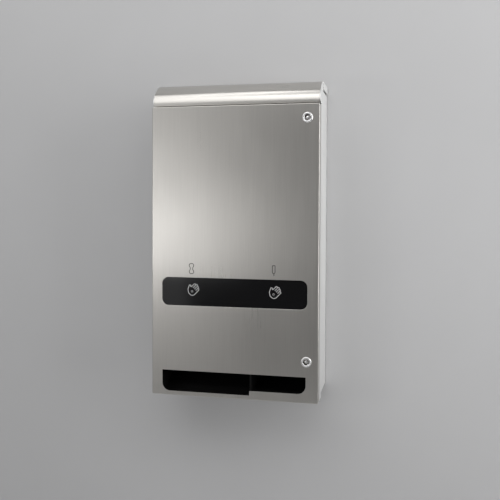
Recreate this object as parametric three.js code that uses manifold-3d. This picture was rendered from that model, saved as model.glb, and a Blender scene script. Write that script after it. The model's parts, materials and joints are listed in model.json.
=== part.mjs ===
import * as THREE from 'three';
import { mergeVertices } from 'three/addons/utils/BufferGeometryUtils.js';
import Module from 'manifold-3d';

// A wall-mounted dispenser for pads and tampons, in millimetres.
// +X is the viewer's right, the wall is the plane Y = 0, the door faces -Y and +Z is up.
// Heights are measured from the door's bottom edge, and the last lines move the origin
// to the middle of the wall face.

const wasm = await Module();
wasm.setup();

// Driving sizes of the cabinet
const caseWidth = 360;
const caseHeight = 670;
const caseDepth = 136;
const doorDepth = 26;
const hoodHeight = 50;
const sheet = 1.2;

// Clearances
const fitGap = 0.3;
const runGap = 0.6;
const seamGap = 2;
const overrun = 2;

// Curves and roundness
const degree = Math.PI / 180;
const quarterTurn = 90 * degree;
const halfTurn = 180 * degree;
const fullTurn = 360 * degree;
const cornerSteps = 6;
const roundSides = 24;
const smallSides = 12;
const hexSides = 6;
const mergeDistance = 1e-5;

// Main planes
const halfWidth = caseWidth / 2;
const innerHalf = halfWidth - sheet;
const backInner = -sheet;
const backSeat = backInner - fitGap;
const doorFront = -caseDepth;
const doorInner = doorFront + sheet;
const doorRear = doorFront + doorDepth;
const caseFront = doorRear + runGap;
const doorTop = caseHeight - hoodHeight - seamGap;
const hoodBottom = caseHeight - hoodHeight;

// Case: the sides reach down to the door's bottom only in a nose at the front
const noseDepth = 24;
const rearBottom = 10;
const strikeFlange = 11.8;
const flangeEnd = 14;
const backFlange = 12;
const noseRear = caseFront + noseDepth;
const wallHoleInset = 15;
const wallHoleX = halfWidth - wallHoleInset;
const wallHoleLow = 90;
const wallHoleDrop = 80;
const wallHoleHigh = caseHeight - wallHoleDrop;
const wallHoleRadius = 3.5;
const keyholeRadius = 7;
const keyholeDrop = 14;

// Hood: an upright front, a roll in two bends with a slant between them, and a flat top
const hoodSetback = 6;
const lowerRoll = 34;
const upperRoll = 45;
const slantLength = 13;
const slantAngle = 40 * degree;
const hoodFlange = 16;
const hoodLip = 10;
const rollSteps = 7;

// Door: places of the holes on its face
const windowSide = 23.5;
const windowWidth = caseWidth - 2 * windowSide;
const windowHeight = 59;
const windowMiddle = 223;
const windowCorner = 14;
const mouthLeftSide = 24.5;
const mouthRightSide = 26;
const mouthLeft = mouthLeftSide - halfWidth;
const mouthRight = halfWidth - mouthRightSide;
const mouthTop = 53.5;
const mouthLow = 8.8;
const mouthHigh = 18.5;
const mouthCorner = 18;

// Window behind the door sheet
const lensMargin = 10;
const lensThickness = 3;
const retainerThickness = 1.5;
const retainerLap = 3;
const studRadius = 2;
const studInset = 5;
const studProud = 1.5;
const nutHeight = 3.2;
const nutRadius = 4.05;

// Locks
const lockInset = 25;
const lockX = halfWidth - lockInset;
const lockRise = 86;
const lockDrop = 29;
const lockHeights = { bottom: lockRise, top: doorTop - lockDrop };
const lockHeadRadius = 11;
const lockHeadHeight = 2.2;
const barrelRadius = 9.2;
const lockNutRadius = 13.5;
const lockNutHeight = 4;
const keyRecessRadius = 7;
const keyRecessDepth = 7;
const coreRadius = 5.9;
const keyPostRadius = 2.6;
const tailSide = 6;
const camThickness = 2.2;
const camWidth = 12;
const camReach = 20;
const camHeel = 8;
const camScrewHead = 5;
const camScrewHeight = 2;
const camScrewShank = 1.5;
const camScrewLength = 6;

// Long hinge at the left
const knuckleRadius = 2.4;
const pinRadius = 1.2;
const leafThickness = 1;
const leafWidth = 18;
const knuckleCount = 12;
const knuckleGap = 0.5;
const hingeEnd = 20;

// Delivery tray
const trayMargin = 8;
const trayWall = 2.5;
const trayLip = 4.8;
const trayRear = -24;
const trayRearRise = 30;
const traySlopeRun = 12;
const trayRoof = 12;
const trayFrontRaise = 1;
const trayTop = mouthTop + trayMargin;

// Product columns: tampons have their own length, and pads take the width that is left
const tamponLength = 110;
const tamponDiameter = 19;
const columnPlay = 4;
const leftRoom = 33.6;
const middleRoom = 76.6;
const rightRoom = 24.6;
const headRoom = 110;
const columnLip = 14;
const columnFoot = 12;
const columnFrontRoom = 9.6;
const columnRearRoom = 17.8;
const columnTop = caseHeight - headRoom;
const tamponInner = tamponLength + columnPlay;
const padInner = 2 * innerHalf - leftRoom - middleRoom - rightRoom - tamponInner - 4 * sheet;
const padX = leftRoom + sheet + padInner / 2 - innerHalf;
const tamponX = innerHalf - rightRoom - sheet - tamponInner / 2;
const padColumnFront = caseFront + columnFrontRoom;
const padColumnDepth = -columnRearRoom - padColumnFront;
const centreX = (padX + padInner / 2 + tamponX - tamponInner / 2) / 2;
const dividerGap = 0.9;
const mouthStep = tamponX - tamponInner / 2 - dividerGap - trayWall;

// Rotors, and the drive that both products share
const padRotorFrontRoom = 22;
const padRotorRearRoom = 6;
const padRotorOverTray = 6.5;
const padRotorRadius = (caseDepth - padRotorFrontRoom - padRotorRearRoom) / 2;
const padRotorY = -padRotorRearRoom - padRotorRadius;
const padRotorZ = trayTop + padRotorOverTray + padRotorRadius;
const padSeatHeight = 14;
const rotorWall = 3;
const rotorHub = 8;
const tamponRotorRadius = 26;
const tamponRotorFrontRoom = 11.4;
const tamponRotorOverTray = 22.5;
const tamponRotorY = caseFront + tamponRotorFrontRoom + tamponRotorRadius;
const tamponRotorZ = trayTop + tamponRotorOverTray + tamponRotorRadius;
const pocketCount = 3;
const pocketRadius = 11;
const pocketSink = 4;
const rotorEndGap = 1;
const rotorTopGap = 3;
const armHalfHeight = 18;
const shaftRadius = 4;
const shaftOverhang = 2;
const bushRadius = 6;
const bushFlangeRadius = 9;
const bushFlange = 1.2;
const bushProud = 1.5;

// Gears
const gearModule = 1.5;
const gearTeeth = 30;
const pinionTeeth = 12;
const gearWidth = 7;
const pinionExtra = 0.5;
const pressureAngle = 20 * degree;
const addendumShare = 0.8;
const dedendumShare = 1.1;
const toothPlay = 0.4;
const gearSideGap = 0.5;

// Gear motors and their bracket
const motorRadius = 12.5;
const motorLength = 26;
const motorShaftRadius = 3;
const motorShaftSink = 8;
const motorArmGap = 2;
const motorArmMargin = 16;

// Hand sensors on their rail
const padSensorShift = 4;
const tamponSensorShift = -7;
const sensorX = { pad: padX + padSensorShift, tampon: tamponX + tamponSensorShift };
const sensorWidth = 44;
const sensorHeight = 30;
const sensorDepth = 9;
const eyeRadius = 5;
const eyeHeight = 4;
const eyeSpread = 11;
const railHeight = 34;
const railEnd = 2.8;
const screwInset = 4;
const screwRadius = 2;
const screwHead = 3.4;
const screwHeadHeight = 2.2;
const screwLength = 7;

// Batteries
const cellRadius = 16.6;
const cellLength = 61.5;
const cellCap = 1.2;
const cellCapRadius = 5;
const cellPlay = 1.4;
const batteryWall = 2;
const batteryOverMotor = 24;
const cellFrontRoom = 6.5;
const batteryDepth = batteryWall + fitGap + 2 * cellRadius + cellFrontRoom;
const coverKnuckle = 2;
const coverPin = 0.9;
const coverKnuckleLength = 14;
const coverKnuckleEnd = 30;

// Control board
const boardWidth = 46;
const boardHeight = 90;
const boardBottom = columnTop - boardHeight;
const plugRoom = 20;
const boardThickness = 1.6;
const boardStandoff = 8;
const boardStudRadius = 3;
const boardPinRadius = 1.4;
const boardPinProud = 2;
const boardPinInset = 5;
const switchSide = 13;
const switchHeight = 6;
const buttonRadius = 4;
const buttonProud = 4;
const buttonSink = 4;
const buttonTravel = 1.5;
const switchRise = 20;
const chipSizes = { width: 16, height: 22, depth: 3, rise: 44 };
const plugSizes = { width: 14, height: 9, depth: 8, rise: 0 };

// Cables
const cableRadius = 1.8;
const cableHole = 3.6;
const cableSides = 8;
const cableStep = 9;
const cableBend = 12;

// Materials, one made for each piece
const finishes = {
  brushedSteel: { color: 0x9c9791, roughness: 0.34, metalness: 1 },
  galvanised: { color: 0xa9abac, roughness: 0.5, metalness: 0.9 },
  chrome: { color: 0xd8d8d8, roughness: 0.15, metalness: 1 },
  zinc: { color: 0xb9bbbd, roughness: 0.35, metalness: 1 },
  bronze: { color: 0xa8793c, roughness: 0.45, metalness: 1 },
  blackGloss: { color: 0x070708, roughness: 0.08, metalness: 0 },
  blackPlastic: { color: 0x0b0b0c, roughness: 0.45, metalness: 0 },
  whitePlastic: { color: 0xdedcd6, roughness: 0.5, metalness: 0 },
  greyPlastic: { color: 0x77797b, roughness: 0.55, metalness: 0 },
  boardGreen: { color: 0x1f5b38, roughness: 0.5, metalness: 0 },
  cellSleeve: { color: 0x3a3d42, roughness: 0.4, metalness: 0.2 },
  buttonRed: { color: 0xb3261e, roughness: 0.45, metalness: 0 },
};

function piece(name, geometry, finish) {
  const mesh = new THREE.Mesh(geometry, new THREE.MeshStandardMaterial(finishes[finish]));
  mesh.name = name;
  return mesh;
}

function group(meshes, x = 0, y = 0, z = 0) {
  const holder = new THREE.Group();
  holder.add(...meshes);
  holder.position.set(x, y, z);
  return holder;
}

// Solids for joining and cutting
function solidOf(geometry) {
  const bare = geometry.clone();
  bare.deleteAttribute('normal');
  bare.deleteAttribute('uv');
  const merged = mergeVertices(bare, mergeDistance);
  return new wasm.Manifold(new wasm.Mesh({
    numProp: 3,
    vertProperties: new Float32Array(merged.attributes.position.array),
    triVerts: new Uint32Array(merged.index.array),
  }));
}

function geometryOf(solid) {
  const { vertProperties, triVerts } = solid.getMesh();
  const geometry = new THREE.BufferGeometry();
  geometry.setAttribute('position', new THREE.BufferAttribute(vertProperties, 3));
  geometry.setIndex(new THREE.BufferAttribute(triVerts, 1));
  geometry.computeVertexNormals();
  return geometry;
}

function join(geometries) {
  const [first, ...others] = geometries.map(solidOf);
  return geometryOf(others.reduce((whole, other) => whole.add(other), first));
}

function carve(geometry, cutters) {
  const tools = cutters.map(solidOf);
  return geometryOf(tools.reduce((whole, tool) => whole.subtract(tool), solidOf(geometry)));
}

// A box between named planes
function block({ left, right, front, back, bottom, top }) {
  const geometry = new THREE.BoxGeometry(right - left, back - front, top - bottom);
  return geometry.translate((left + right) / 2, (front + back) / 2, (bottom + top) / 2);
}

function extrude(shape, depth) {
  return new THREE.ExtrudeGeometry(shape, { depth, bevelEnabled: false, curveSegments: cornerSteps });
}

// An outline drawn in Y and Z, thick along X
function alongX(shape, left, right) {
  const turn = new THREE.Matrix4().set(0, 0, 1, left, 1, 0, 0, 0, 0, 1, 0, 0, 0, 0, 0, 1);
  return extrude(shape, right - left).applyMatrix4(turn);
}

// An outline drawn in X and Z, thick along Y
function alongY(shape, front, back) {
  return extrude(shape, back - front).rotateX(quarterTurn).translate(0, back, 0);
}

// Round bars along each axis, centred on it
function rodY(radius, from, to, sides = roundSides) {
  return new THREE.CylinderGeometry(radius, radius, to - from, sides).translate(0, (from + to) / 2, 0);
}

function rodX(radius, from, to, sides = roundSides) {
  return rodY(radius, from, to, sides).rotateZ(-quarterTurn);
}

function rodZ(radius, from, to, sides = roundSides) {
  return rodY(radius, from, to, sides).rotateX(quarterTurn);
}

// A turned piece along Y: its half section is a closed list of radius and place
function turnedY(section, sides = roundSides) {
  const points = section.map(([radius, along]) => new THREE.Vector2(radius, along));
  return new THREE.LatheGeometry([...points, points[0]], sides);
}

// The section of a bent sheet: its line, and the line moved to its left by the thickness
function bentSheet(line, thickness) {
  const last = line.length - 1;
  const leftOf = (from, to) => {
    const direction = to.clone().sub(from).normalize();
    return new THREE.Vector2(-direction.y, direction.x);
  };
  const inner = line.map((point, index) => {
    const before = leftOf(line[Math.max(index - 1, 0)], line[Math.max(index, 1)]);
    const after = leftOf(line[Math.min(index, last - 1)], line[Math.min(index + 1, last)]);
    const middle = before.clone().add(after).normalize();
    return point.clone().addScaledVector(middle, thickness / middle.dot(before));
  });
  return new THREE.Shape([...line, ...inner.reverse()]);
}

function arcPoints(centreX, centreY, radius, from, to, steps) {
  return Array.from({ length: steps + 1 }, (unused, step) => {
    const angle = from + (to - from) * step / steps;
    return new THREE.Vector2(centreX + radius * Math.cos(angle), centreY + radius * Math.sin(angle));
  });
}

function roundedRectangle(halfAcross, halfUp, radius) {
  const shape = new THREE.Shape();
  shape.absarc(halfAcross - radius, halfUp - radius, radius, 0, quarterTurn);
  shape.absarc(radius - halfAcross, halfUp - radius, radius, quarterTurn, halfTurn);
  shape.absarc(radius - halfAcross, radius - halfUp, radius, halfTurn, halfTurn + quarterTurn);
  shape.absarc(halfAcross - radius, radius - halfUp, radius, halfTurn + quarterTurn, fullTurn);
  return shape;
}

function roundHole(radius) {
  const hole = new THREE.Path();
  hole.absarc(0, 0, radius, 0, fullTurn, true);
  return hole;
}

// Hood: its outer line runs from the wall over the top and down the front
const hoodFront = doorFront + hoodSetback;
const slantTurn = quarterTurn + slantAngle;
const lowerCentreY = hoodFront + lowerRoll;
const slantTopY = lowerCentreY + lowerRoll * Math.cos(slantTurn) + slantLength * Math.cos(slantAngle);
const flatFront = slantTopY - upperRoll * Math.cos(slantTurn);
const upperCentreZ = caseHeight - upperRoll;
const slantBottomZ = upperCentreZ + upperRoll * Math.sin(slantTurn) - slantLength * Math.sin(slantAngle);
const lowerCentreZ = slantBottomZ - lowerRoll * Math.sin(slantTurn);

function rollPoints() {
  return [
    ...arcPoints(flatFront, upperCentreZ, upperRoll, quarterTurn, slantTurn, rollSteps),
    ...arcPoints(lowerCentreY, lowerCentreZ, lowerRoll, slantTurn, halfTurn, rollSteps),
    new THREE.Vector2(hoodFront, hoodBottom),
  ];
}

function makeHood() {
  const rollHalf = innerHalf - fitGap;
  const flangeInner = halfWidth + fitGap;
  const line = [
    new THREE.Vector2(0, caseHeight),
    ...rollPoints(),
    new THREE.Vector2(hoodFront + hoodLip, hoodBottom),
  ];
  const roll = alongX(bentSheet(line, sheet), -rollHalf, rollHalf);
  const top = block({
    left: -flangeInner - sheet, right: flangeInner + sheet,
    front: flatFront, back: 0, bottom: caseHeight - sheet, top: caseHeight,
  });
  const flanges = [-1, 1].map((side) => block({
    left: Math.min(side * flangeInner, side * (flangeInner + sheet)),
    right: Math.max(side * flangeInner, side * (flangeInner + sheet)),
    front: flatFront, back: 0, bottom: caseHeight - hoodFlange, top: caseHeight,
  }));
  return piece('hood', join([roll, top, ...flanges]), 'brushedSteel');
}

// Case: sides and top in one sheet, with the hood's ends as part of the sides
const underTop = caseHeight - sheet - fitGap;

function sideOutline() {
  const capRear = flatFront - fitGap;
  return new THREE.Shape([
    new THREE.Vector2(0, rearBottom),
    new THREE.Vector2(0, underTop),
    new THREE.Vector2(capRear, underTop),
    new THREE.Vector2(capRear, caseHeight),
    ...rollPoints().slice(1),
    new THREE.Vector2(caseFront, hoodBottom),
    new THREE.Vector2(caseFront, 0),
    new THREE.Vector2(noseRear, 0),
    new THREE.Vector2(noseRear, rearBottom),
  ]);
}

function keyhole(x, z) {
  const round = rodY(keyholeRadius, backInner - overrun, overrun, smallSides).translate(x, 0, z - keyholeDrop);
  const slot = block({
    left: x - wallHoleRadius, right: x + wallHoleRadius,
    front: backInner - overrun, back: overrun, bottom: z - keyholeDrop, top: z,
  });
  const end = rodY(wallHoleRadius, backInner - overrun, overrun, smallSides).translate(x, 0, z);
  return [round, slot, end];
}

const boardRear = backInner - boardStandoff;
const boardFront = boardRear - boardThickness;
const boardMiddle = boardBottom + boardHeight / 2;

function boardPins() {
  const across = boardWidth / 2 - boardPinInset;
  const up = boardHeight / 2 - boardPinInset;
  return [-1, 1].flatMap((side) => [-1, 1].map((end) => [centreX + side * across, boardMiddle + end * up]));
}

const railScrewX = innerHalf - railEnd - screwInset;

function makeCase() {
  const sides = [-halfWidth, innerHalf].map((left) => alongX(sideOutline(), left, left + sheet));
  const top = block({
    left: -innerHalf - sheet / 2, right: innerHalf + sheet / 2,
    front: flatFront + fitGap, back: 0, bottom: underTop - sheet, top: underTop,
  });
  const flanges = [-innerHalf - sheet / 2, innerHalf - strikeFlange].map((left) => block({
    left, right: left + strikeFlange + sheet / 2,
    front: caseFront, back: caseFront + sheet, bottom: flangeEnd, top: doorTop - flangeEnd,
  }));
  const railHoles = [-railScrewX, railScrewX].map((x) => (
    rodY(screwRadius + fitGap, caseFront - overrun, caseFront + sheet + overrun, smallSides)
      .translate(x, 0, windowMiddle)
  ));
  const shell = carve(join([top, ...sides, ...flanges]), railHoles);
  return piece('case_shell', shell, 'brushedSteel');
}

// Back: a sheet between the sides, with flanges bent forward along them
function makeBack() {
  const half = innerHalf - fitGap;
  const top = underTop - sheet - fitGap;
  const plate = block({ left: -half, right: half, front: backInner, back: 0, bottom: rearBottom, top });
  const flanges = [-half, half - sheet].map((left) => block({
    left, right: left + sheet, front: -backFlange, back: 0, bottom: rearBottom, top,
  }));
  const studs = boardPins().flatMap(([x, z]) => [
    rodY(boardStudRadius, boardRear + fitGap, backInner + sheet / 2, smallSides).translate(x, 0, z),
    rodY(boardPinRadius, boardFront - boardPinProud, backInner, smallSides).translate(x, 0, z),
  ]);
  const wallHoles = [-wallHoleX, wallHoleX].flatMap((x) => [
    ...keyhole(x, wallHoleHigh),
    rodY(wallHoleRadius, backInner - overrun, overrun, smallSides).translate(x, 0, wallHoleLow),
  ]);
  return piece('case_back', carve(join([plate, ...flanges, ...studs]), wallHoles), 'brushedSteel');
}

function makeFloor() {
  const line = [
    new THREE.Vector2(caseFront, 0),
    new THREE.Vector2(noseRear, 0),
    new THREE.Vector2(noseRear, rearBottom),
    new THREE.Vector2(backSeat, rearBottom),
    new THREE.Vector2(backSeat, rearBottom + backFlange),
  ];
  const half = innerHalf - 2 * fitGap - sheet;
  return piece('case_floor', alongX(bentSheet(line, sheet), -half, half), 'brushedSteel');
}

// Door: a sheet pan with its returns, holes and studs
function mouthOutline() {
  const shape = new THREE.Shape();
  shape.moveTo(mouthLeft, mouthTop);
  shape.lineTo(mouthRight, mouthTop);
  shape.lineTo(mouthRight, mouthHigh + mouthCorner);
  shape.absarc(mouthRight - mouthCorner, mouthHigh + mouthCorner, mouthCorner, 0, -quarterTurn, true);
  shape.lineTo(mouthStep, mouthHigh);
  shape.lineTo(mouthStep, mouthLow);
  shape.lineTo(mouthLeft + mouthCorner, mouthLow);
  shape.absarc(mouthLeft + mouthCorner, mouthLow + mouthCorner, mouthCorner, -quarterTurn, -halfTurn, true);
  return shape;
}

const lensHalfAcross = windowWidth / 2 + lensMargin;
const lensHalfUp = windowHeight / 2 + lensMargin;
const lensFront = doorInner + fitGap;
const lensRear = lensFront + lensThickness;
const retainerFront = lensRear + fitGap;
const retainerRear = retainerFront + retainerThickness;
const windowNutFront = retainerRear + fitGap;
const windowNutRear = windowNutFront + nutHeight;

function windowStuds() {
  const across = lensHalfAcross - studInset;
  const up = lensHalfUp - studInset;
  return [[-1, -1], [1, -1], [-1, 1], [1, 1]].map(([side, end]) => [side * across, windowMiddle + end * up]);
}

function studHoles(front, back) {
  return windowStuds().map(([x, z]) => (
    rodY(studRadius + fitGap, front - overrun, back + overrun, smallSides).translate(x, 0, z)
  ));
}

function makeDoor() {
  const outer = block({
    left: -halfWidth, right: halfWidth, front: doorFront, back: doorRear, bottom: 0, top: doorTop,
  });
  const hollow = block({
    left: -innerHalf, right: innerHalf,
    front: doorInner, back: doorRear + overrun, bottom: sheet, top: doorTop - sheet,
  });
  const windowHole = alongY(
    roundedRectangle(windowWidth / 2, windowHeight / 2, windowCorner),
    doorFront - overrun, doorInner + overrun,
  ).translate(0, 0, windowMiddle);
  const mouthHole = alongY(mouthOutline(), doorFront - overrun, doorInner + overrun);
  const lockHoles = Object.values(lockHeights).map((height) => (
    rodY(barrelRadius + fitGap, doorFront - overrun, doorInner + overrun).translate(lockX, 0, height)
  ));
  const studs = windowStuds().map(([x, z]) => (
    rodY(studRadius, doorInner - sheet / 2, windowNutRear + studProud, smallSides).translate(x, 0, z)
  ));
  const pan = join([carve(outer, [hollow, windowHole, mouthHole, ...lockHoles]), ...studs]);
  return piece('door_panel', pan, 'brushedSteel');
}

function makeWindow() {
  const plate = {
    left: -lensHalfAcross, right: lensHalfAcross,
    bottom: windowMiddle - lensHalfUp, top: windowMiddle + lensHalfUp,
  };
  const lens = carve(
    block({ ...plate, front: lensFront, back: lensRear }),
    studHoles(lensFront, lensRear),
  );
  const opening = block({
    left: -windowWidth / 2 + retainerLap, right: windowWidth / 2 - retainerLap,
    front: retainerFront - overrun, back: retainerRear + overrun,
    bottom: windowMiddle - windowHeight / 2 + retainerLap,
    top: windowMiddle + windowHeight / 2 - retainerLap,
  });
  const retainer = carve(
    block({ ...plate, front: retainerFront, back: retainerRear }),
    [opening, ...studHoles(retainerFront, retainerRear)],
  );
  const nuts = windowStuds().map(([x, z], index) => {
    const hexagon = rodY(nutRadius, windowNutFront, windowNutRear, hexSides);
    const bore = rodY(studRadius + fitGap, windowNutFront - overrun, windowNutRear + overrun, smallSides);
    const nut = piece(`window_nut_${index + 1}`, carve(hexagon, [bore]), 'zinc');
    nut.position.set(x, 0, z);
    return nut;
  });
  return [piece('window_lens', lens, 'blackGloss'), piece('window_retainer', retainer, 'galvanised'), ...nuts];
}

// Locks: every piece is made about the lock's own axis
const barrelRear = caseFront + sheet + fitGap;
const camFront = barrelRear + fitGap;
const camRear = camFront + camThickness;
const tailRear = camRear - fitGap;

function makeLock(name, height) {
  const headRear = doorFront - fitGap;
  const headFront = headRear - lockHeadHeight;
  const coreBore = coreRadius + fitGap;
  const recessRear = headFront + keyRecessDepth;
  const housing = turnedY([
    [keyRecessRadius, headFront], [lockHeadRadius - lockHeadHeight / 2, headFront],
    [lockHeadRadius, headFront + lockHeadHeight / 2], [lockHeadRadius, headRear],
    [barrelRadius, headRear], [barrelRadius, barrelRear], [coreBore, barrelRear],
    [coreBore, recessRear], [keyRecessRadius, recessRear],
  ]);
  const nutFront = doorInner + fitGap;
  const nut = carve(
    rodY(lockNutRadius, nutFront, nutFront + lockNutHeight, hexSides),
    [rodY(barrelRadius + fitGap, nutFront - overrun, nutFront + lockNutHeight + overrun)],
  );
  const tail = block({
    left: -tailSide / 2, right: tailSide / 2, front: barrelRear - overrun, back: tailRear,
    bottom: -tailSide / 2, top: tailSide / 2,
  });
  const plug = carve(
    join([
      rodY(coreRadius, recessRear + fitGap, barrelRear),
      rodY(keyPostRadius, headFront + fitGap, recessRear + sheet, smallSides),
      tail,
    ]),
    [rodY(camScrewShank + fitGap, tailRear - camScrewLength - fitGap, tailRear + overrun, smallSides)],
  );
  const camShape = new THREE.Shape();
  camShape.moveTo(-camWidth / 2, camHeel);
  camShape.lineTo(-camWidth / 2, camWidth / 2 - camReach);
  camShape.absarc(0, camWidth / 2 - camReach, camWidth / 2, halfTurn, fullTurn);
  camShape.lineTo(camWidth / 2, camHeel);
  const tailHole = tailSide / 2 + fitGap;
  const cam = carve(alongY(camShape, camFront, camRear), [block({
    left: -tailHole, right: tailHole, front: camFront - overrun, back: camRear + overrun,
    bottom: -tailHole, top: tailHole,
  })]);
  const screwSeat = camRear + fitGap;
  const screw = join([
    rodY(camScrewHead, screwSeat, screwSeat + camScrewHeight, smallSides),
    rodY(camScrewShank, tailRear - camScrewLength, screwSeat + camScrewHeight / 2, smallSides),
  ]);
  return group([
    piece(`${name}_lock_housing`, housing, 'chrome'),
    piece(`${name}_lock_nut`, nut, 'zinc'),
    piece(`${name}_lock_plug`, plug, 'chrome'),
    piece(`${name}_lock_cam`, cam, 'zinc'),
    piece(`${name}_lock_screw`, screw, 'zinc'),
  ], lockX, 0, height);
}

// Long hinge: two leaves with alternate knuckles about one pin
const hingeX = -(halfWidth + fitGap + knuckleRadius);
const hingeY = (doorRear + caseFront) / 2;

function hingeLeaf(name, side, firstKnuckle) {
  const low = hingeEnd;
  const high = doorTop - hingeEnd;
  const pitch = (high - low) / knuckleCount;
  const leafOuter = knuckleRadius - leafThickness;
  const edge = knuckleRadius + knuckleGap;
  const strip = block({
    left: leafOuter, right: knuckleRadius,
    front: Math.min(side * edge, side * leafWidth), back: Math.max(side * edge, side * leafWidth),
    bottom: low, top: high,
  });
  const owned = Array.from({ length: knuckleCount / 2 }, (unused, index) => {
    const bottom = low + (firstKnuckle + 2 * index) * pitch + knuckleGap / 2;
    const top = bottom + pitch - knuckleGap;
    const tab = block({
      left: leafOuter, right: knuckleRadius,
      front: Math.min(0, side * (edge + knuckleGap)), back: Math.max(0, side * (edge + knuckleGap)),
      bottom, top,
    });
    return [rodZ(knuckleRadius, bottom, top, smallSides), tab];
  });
  const bore = rodZ(pinRadius + fitGap, low - overrun, high + overrun, smallSides);
  return piece(name, carve(join([strip, ...owned.flat()]), [bore]), 'galvanised');
}

function makeHinge() {
  const pin = rodZ(pinRadius, hingeEnd, doorTop - hingeEnd, smallSides);
  return group([
    hingeLeaf('hinge_leaf_case', 1, 0),
    hingeLeaf('hinge_leaf_door', -1, 1),
    piece('hinge_pin', pin, 'zinc'),
  ], hingeX, hingeY, 0);
}

// Tray: two chutes with stepped floors, open above and in front
function makeTray() {
  const front = doorInner + fitGap;
  const left = mouthLeft - trayMargin;
  const right = mouthRight + trayMargin;
  const top = trayTop;
  const slopeEnd = noseRear - sheet - fitGap;
  const overFloor = sheet + fitGap;
  const rearRise = rearBottom + trayRearRise;
  const chuteLine = (frontHeight, seatHeight, clearHeight) => [
    new THREE.Vector2(front, frontHeight),
    new THREE.Vector2(caseFront, frontHeight),
    new THREE.Vector2(caseFront, seatHeight),
    new THREE.Vector2(slopeEnd - traySlopeRun, seatHeight),
    new THREE.Vector2(slopeEnd, clearHeight),
    new THREE.Vector2(trayRear, rearRise),
  ];
  const lowLine = chuteLine(overFloor + trayFrontRaise, overFloor, rearBottom + overFloor);
  const highStart = mouthHigh - trayLip - trayWall;
  const highLine = chuteLine(highStart, highStart, Math.max(highStart, rearBottom + overFloor));
  const wallShape = (line) => new THREE.Shape([
    ...line, new THREE.Vector2(trayRear, top), new THREE.Vector2(front, top),
  ]);
  const floorShape = (line) => new THREE.Shape([
    ...line,
    ...line.map((point) => new THREE.Vector2(point.x, point.y + trayWall)).reverse(),
  ]);
  const midLeft = mouthStep;
  const midRight = midLeft + trayWall;
  const parts = [
    alongX(floorShape(lowLine), left, midRight),
    alongX(floorShape(highLine), midLeft, right),
    alongX(wallShape(lowLine), left, left + trayWall),
    alongX(wallShape(lowLine), midLeft, midRight),
    alongX(wallShape(highLine), right - trayWall, right),
    block({ left, right, front, back: front + trayRoof, bottom: top - trayWall, top }),
    block({ left, right, front: trayRear - trayWall, back: trayRear, bottom: rearRise, top }),
  ];
  return piece('delivery_tray', join(parts), 'blackPlastic');
}

// Columns: a channel with front lips, a back wall and feet on the case's back
function makeColumn(name, x, innerWidth, front, innerDepth, bottom) {
  const inner = innerWidth / 2;
  const outer = inner + sheet;
  const top = columnTop;
  const lipFront = front - sheet;
  const wallBack = front + innerDepth;
  const footFront = backSeat - sheet;
  const mirrored = (near, far) => [-1, 1].map((side) => ({
    left: Math.min(side * near, side * far),
    right: Math.max(side * near, side * far),
  }));
  const walls = mirrored(inner, outer).map((span) => (
    block({ ...span, front: lipFront, back: backSeat, bottom, top })
  ));
  const lips = mirrored(inner - columnLip, outer).map((span) => (
    block({ ...span, front: lipFront, back: front, bottom, top })
  ));
  const feet = mirrored(inner - columnFoot, outer).map((span) => (
    block({ ...span, front: footFront, back: backSeat, bottom, top })
  ));
  const back = block({
    left: -outer, right: outer, front: wallBack, back: wallBack + sheet, bottom, top,
  });
  const column = piece(name, join([back, ...walls, ...lips, ...feet]), 'galvanised');
  column.position.x = x;
  return column;
}

// Rotors: the pad's is a hollow drum with a flat seat, the tampon's has round pockets
function padRotorShape() {
  const seatHalf = Math.sqrt(padRotorRadius ** 2 - padSeatHeight ** 2);
  const seatAngle = Math.atan2(padSeatHeight, seatHalf);
  const shape = new THREE.Shape(
    arcPoints(0, 0, padRotorRadius, halfTurn - seatAngle, fullTurn + seatAngle, roundSides),
  );
  const innerRadius = padRotorRadius - rotorWall;
  const ribHalf = rotorWall / 2;
  const underSeat = padSeatHeight - rotorWall;
  const outerTilt = Math.asin(ribHalf / innerRadius);
  const hubTilt = Math.asin(ribHalf / rotorHub);
  const rimTop = halfTurn - Math.asin(underSeat / innerRadius);
  const chamber = [
    ...arcPoints(0, 0, innerRadius, halfTurn + quarterTurn - outerTilt, rimTop, cornerSteps * 2),
    new THREE.Vector2(-ribHalf, underSeat),
    ...arcPoints(0, 0, rotorHub, quarterTurn + hubTilt, halfTurn + quarterTurn - hubTilt, cornerSteps),
  ];
  const mirror = chamber.map((point) => new THREE.Vector2(-point.x, point.y)).reverse();
  shape.holes.push(new THREE.Path(chamber), new THREE.Path(mirror), roundHole(shaftRadius + fitGap));
  return shape;
}

function padRotor(half) {
  return alongX(padRotorShape(), -half, half);
}

function tamponRotor(half) {
  const pockets = Array.from({ length: pocketCount }, (unused, index) => {
    const angle = quarterTurn + fullTurn * index / pocketCount;
    const distance = tamponRotorRadius - pocketSink;
    return rodX(pocketRadius, -half - overrun, half + overrun, smallSides)
      .translate(0, distance * Math.cos(angle), distance * Math.sin(angle));
  });
  const bore = rodX(shaftRadius + fitGap, -half - overrun, half + overrun, smallSides);
  return carve(rodX(tamponRotorRadius, -half, half, roundSides * 2), [...pockets, bore]);
}

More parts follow.
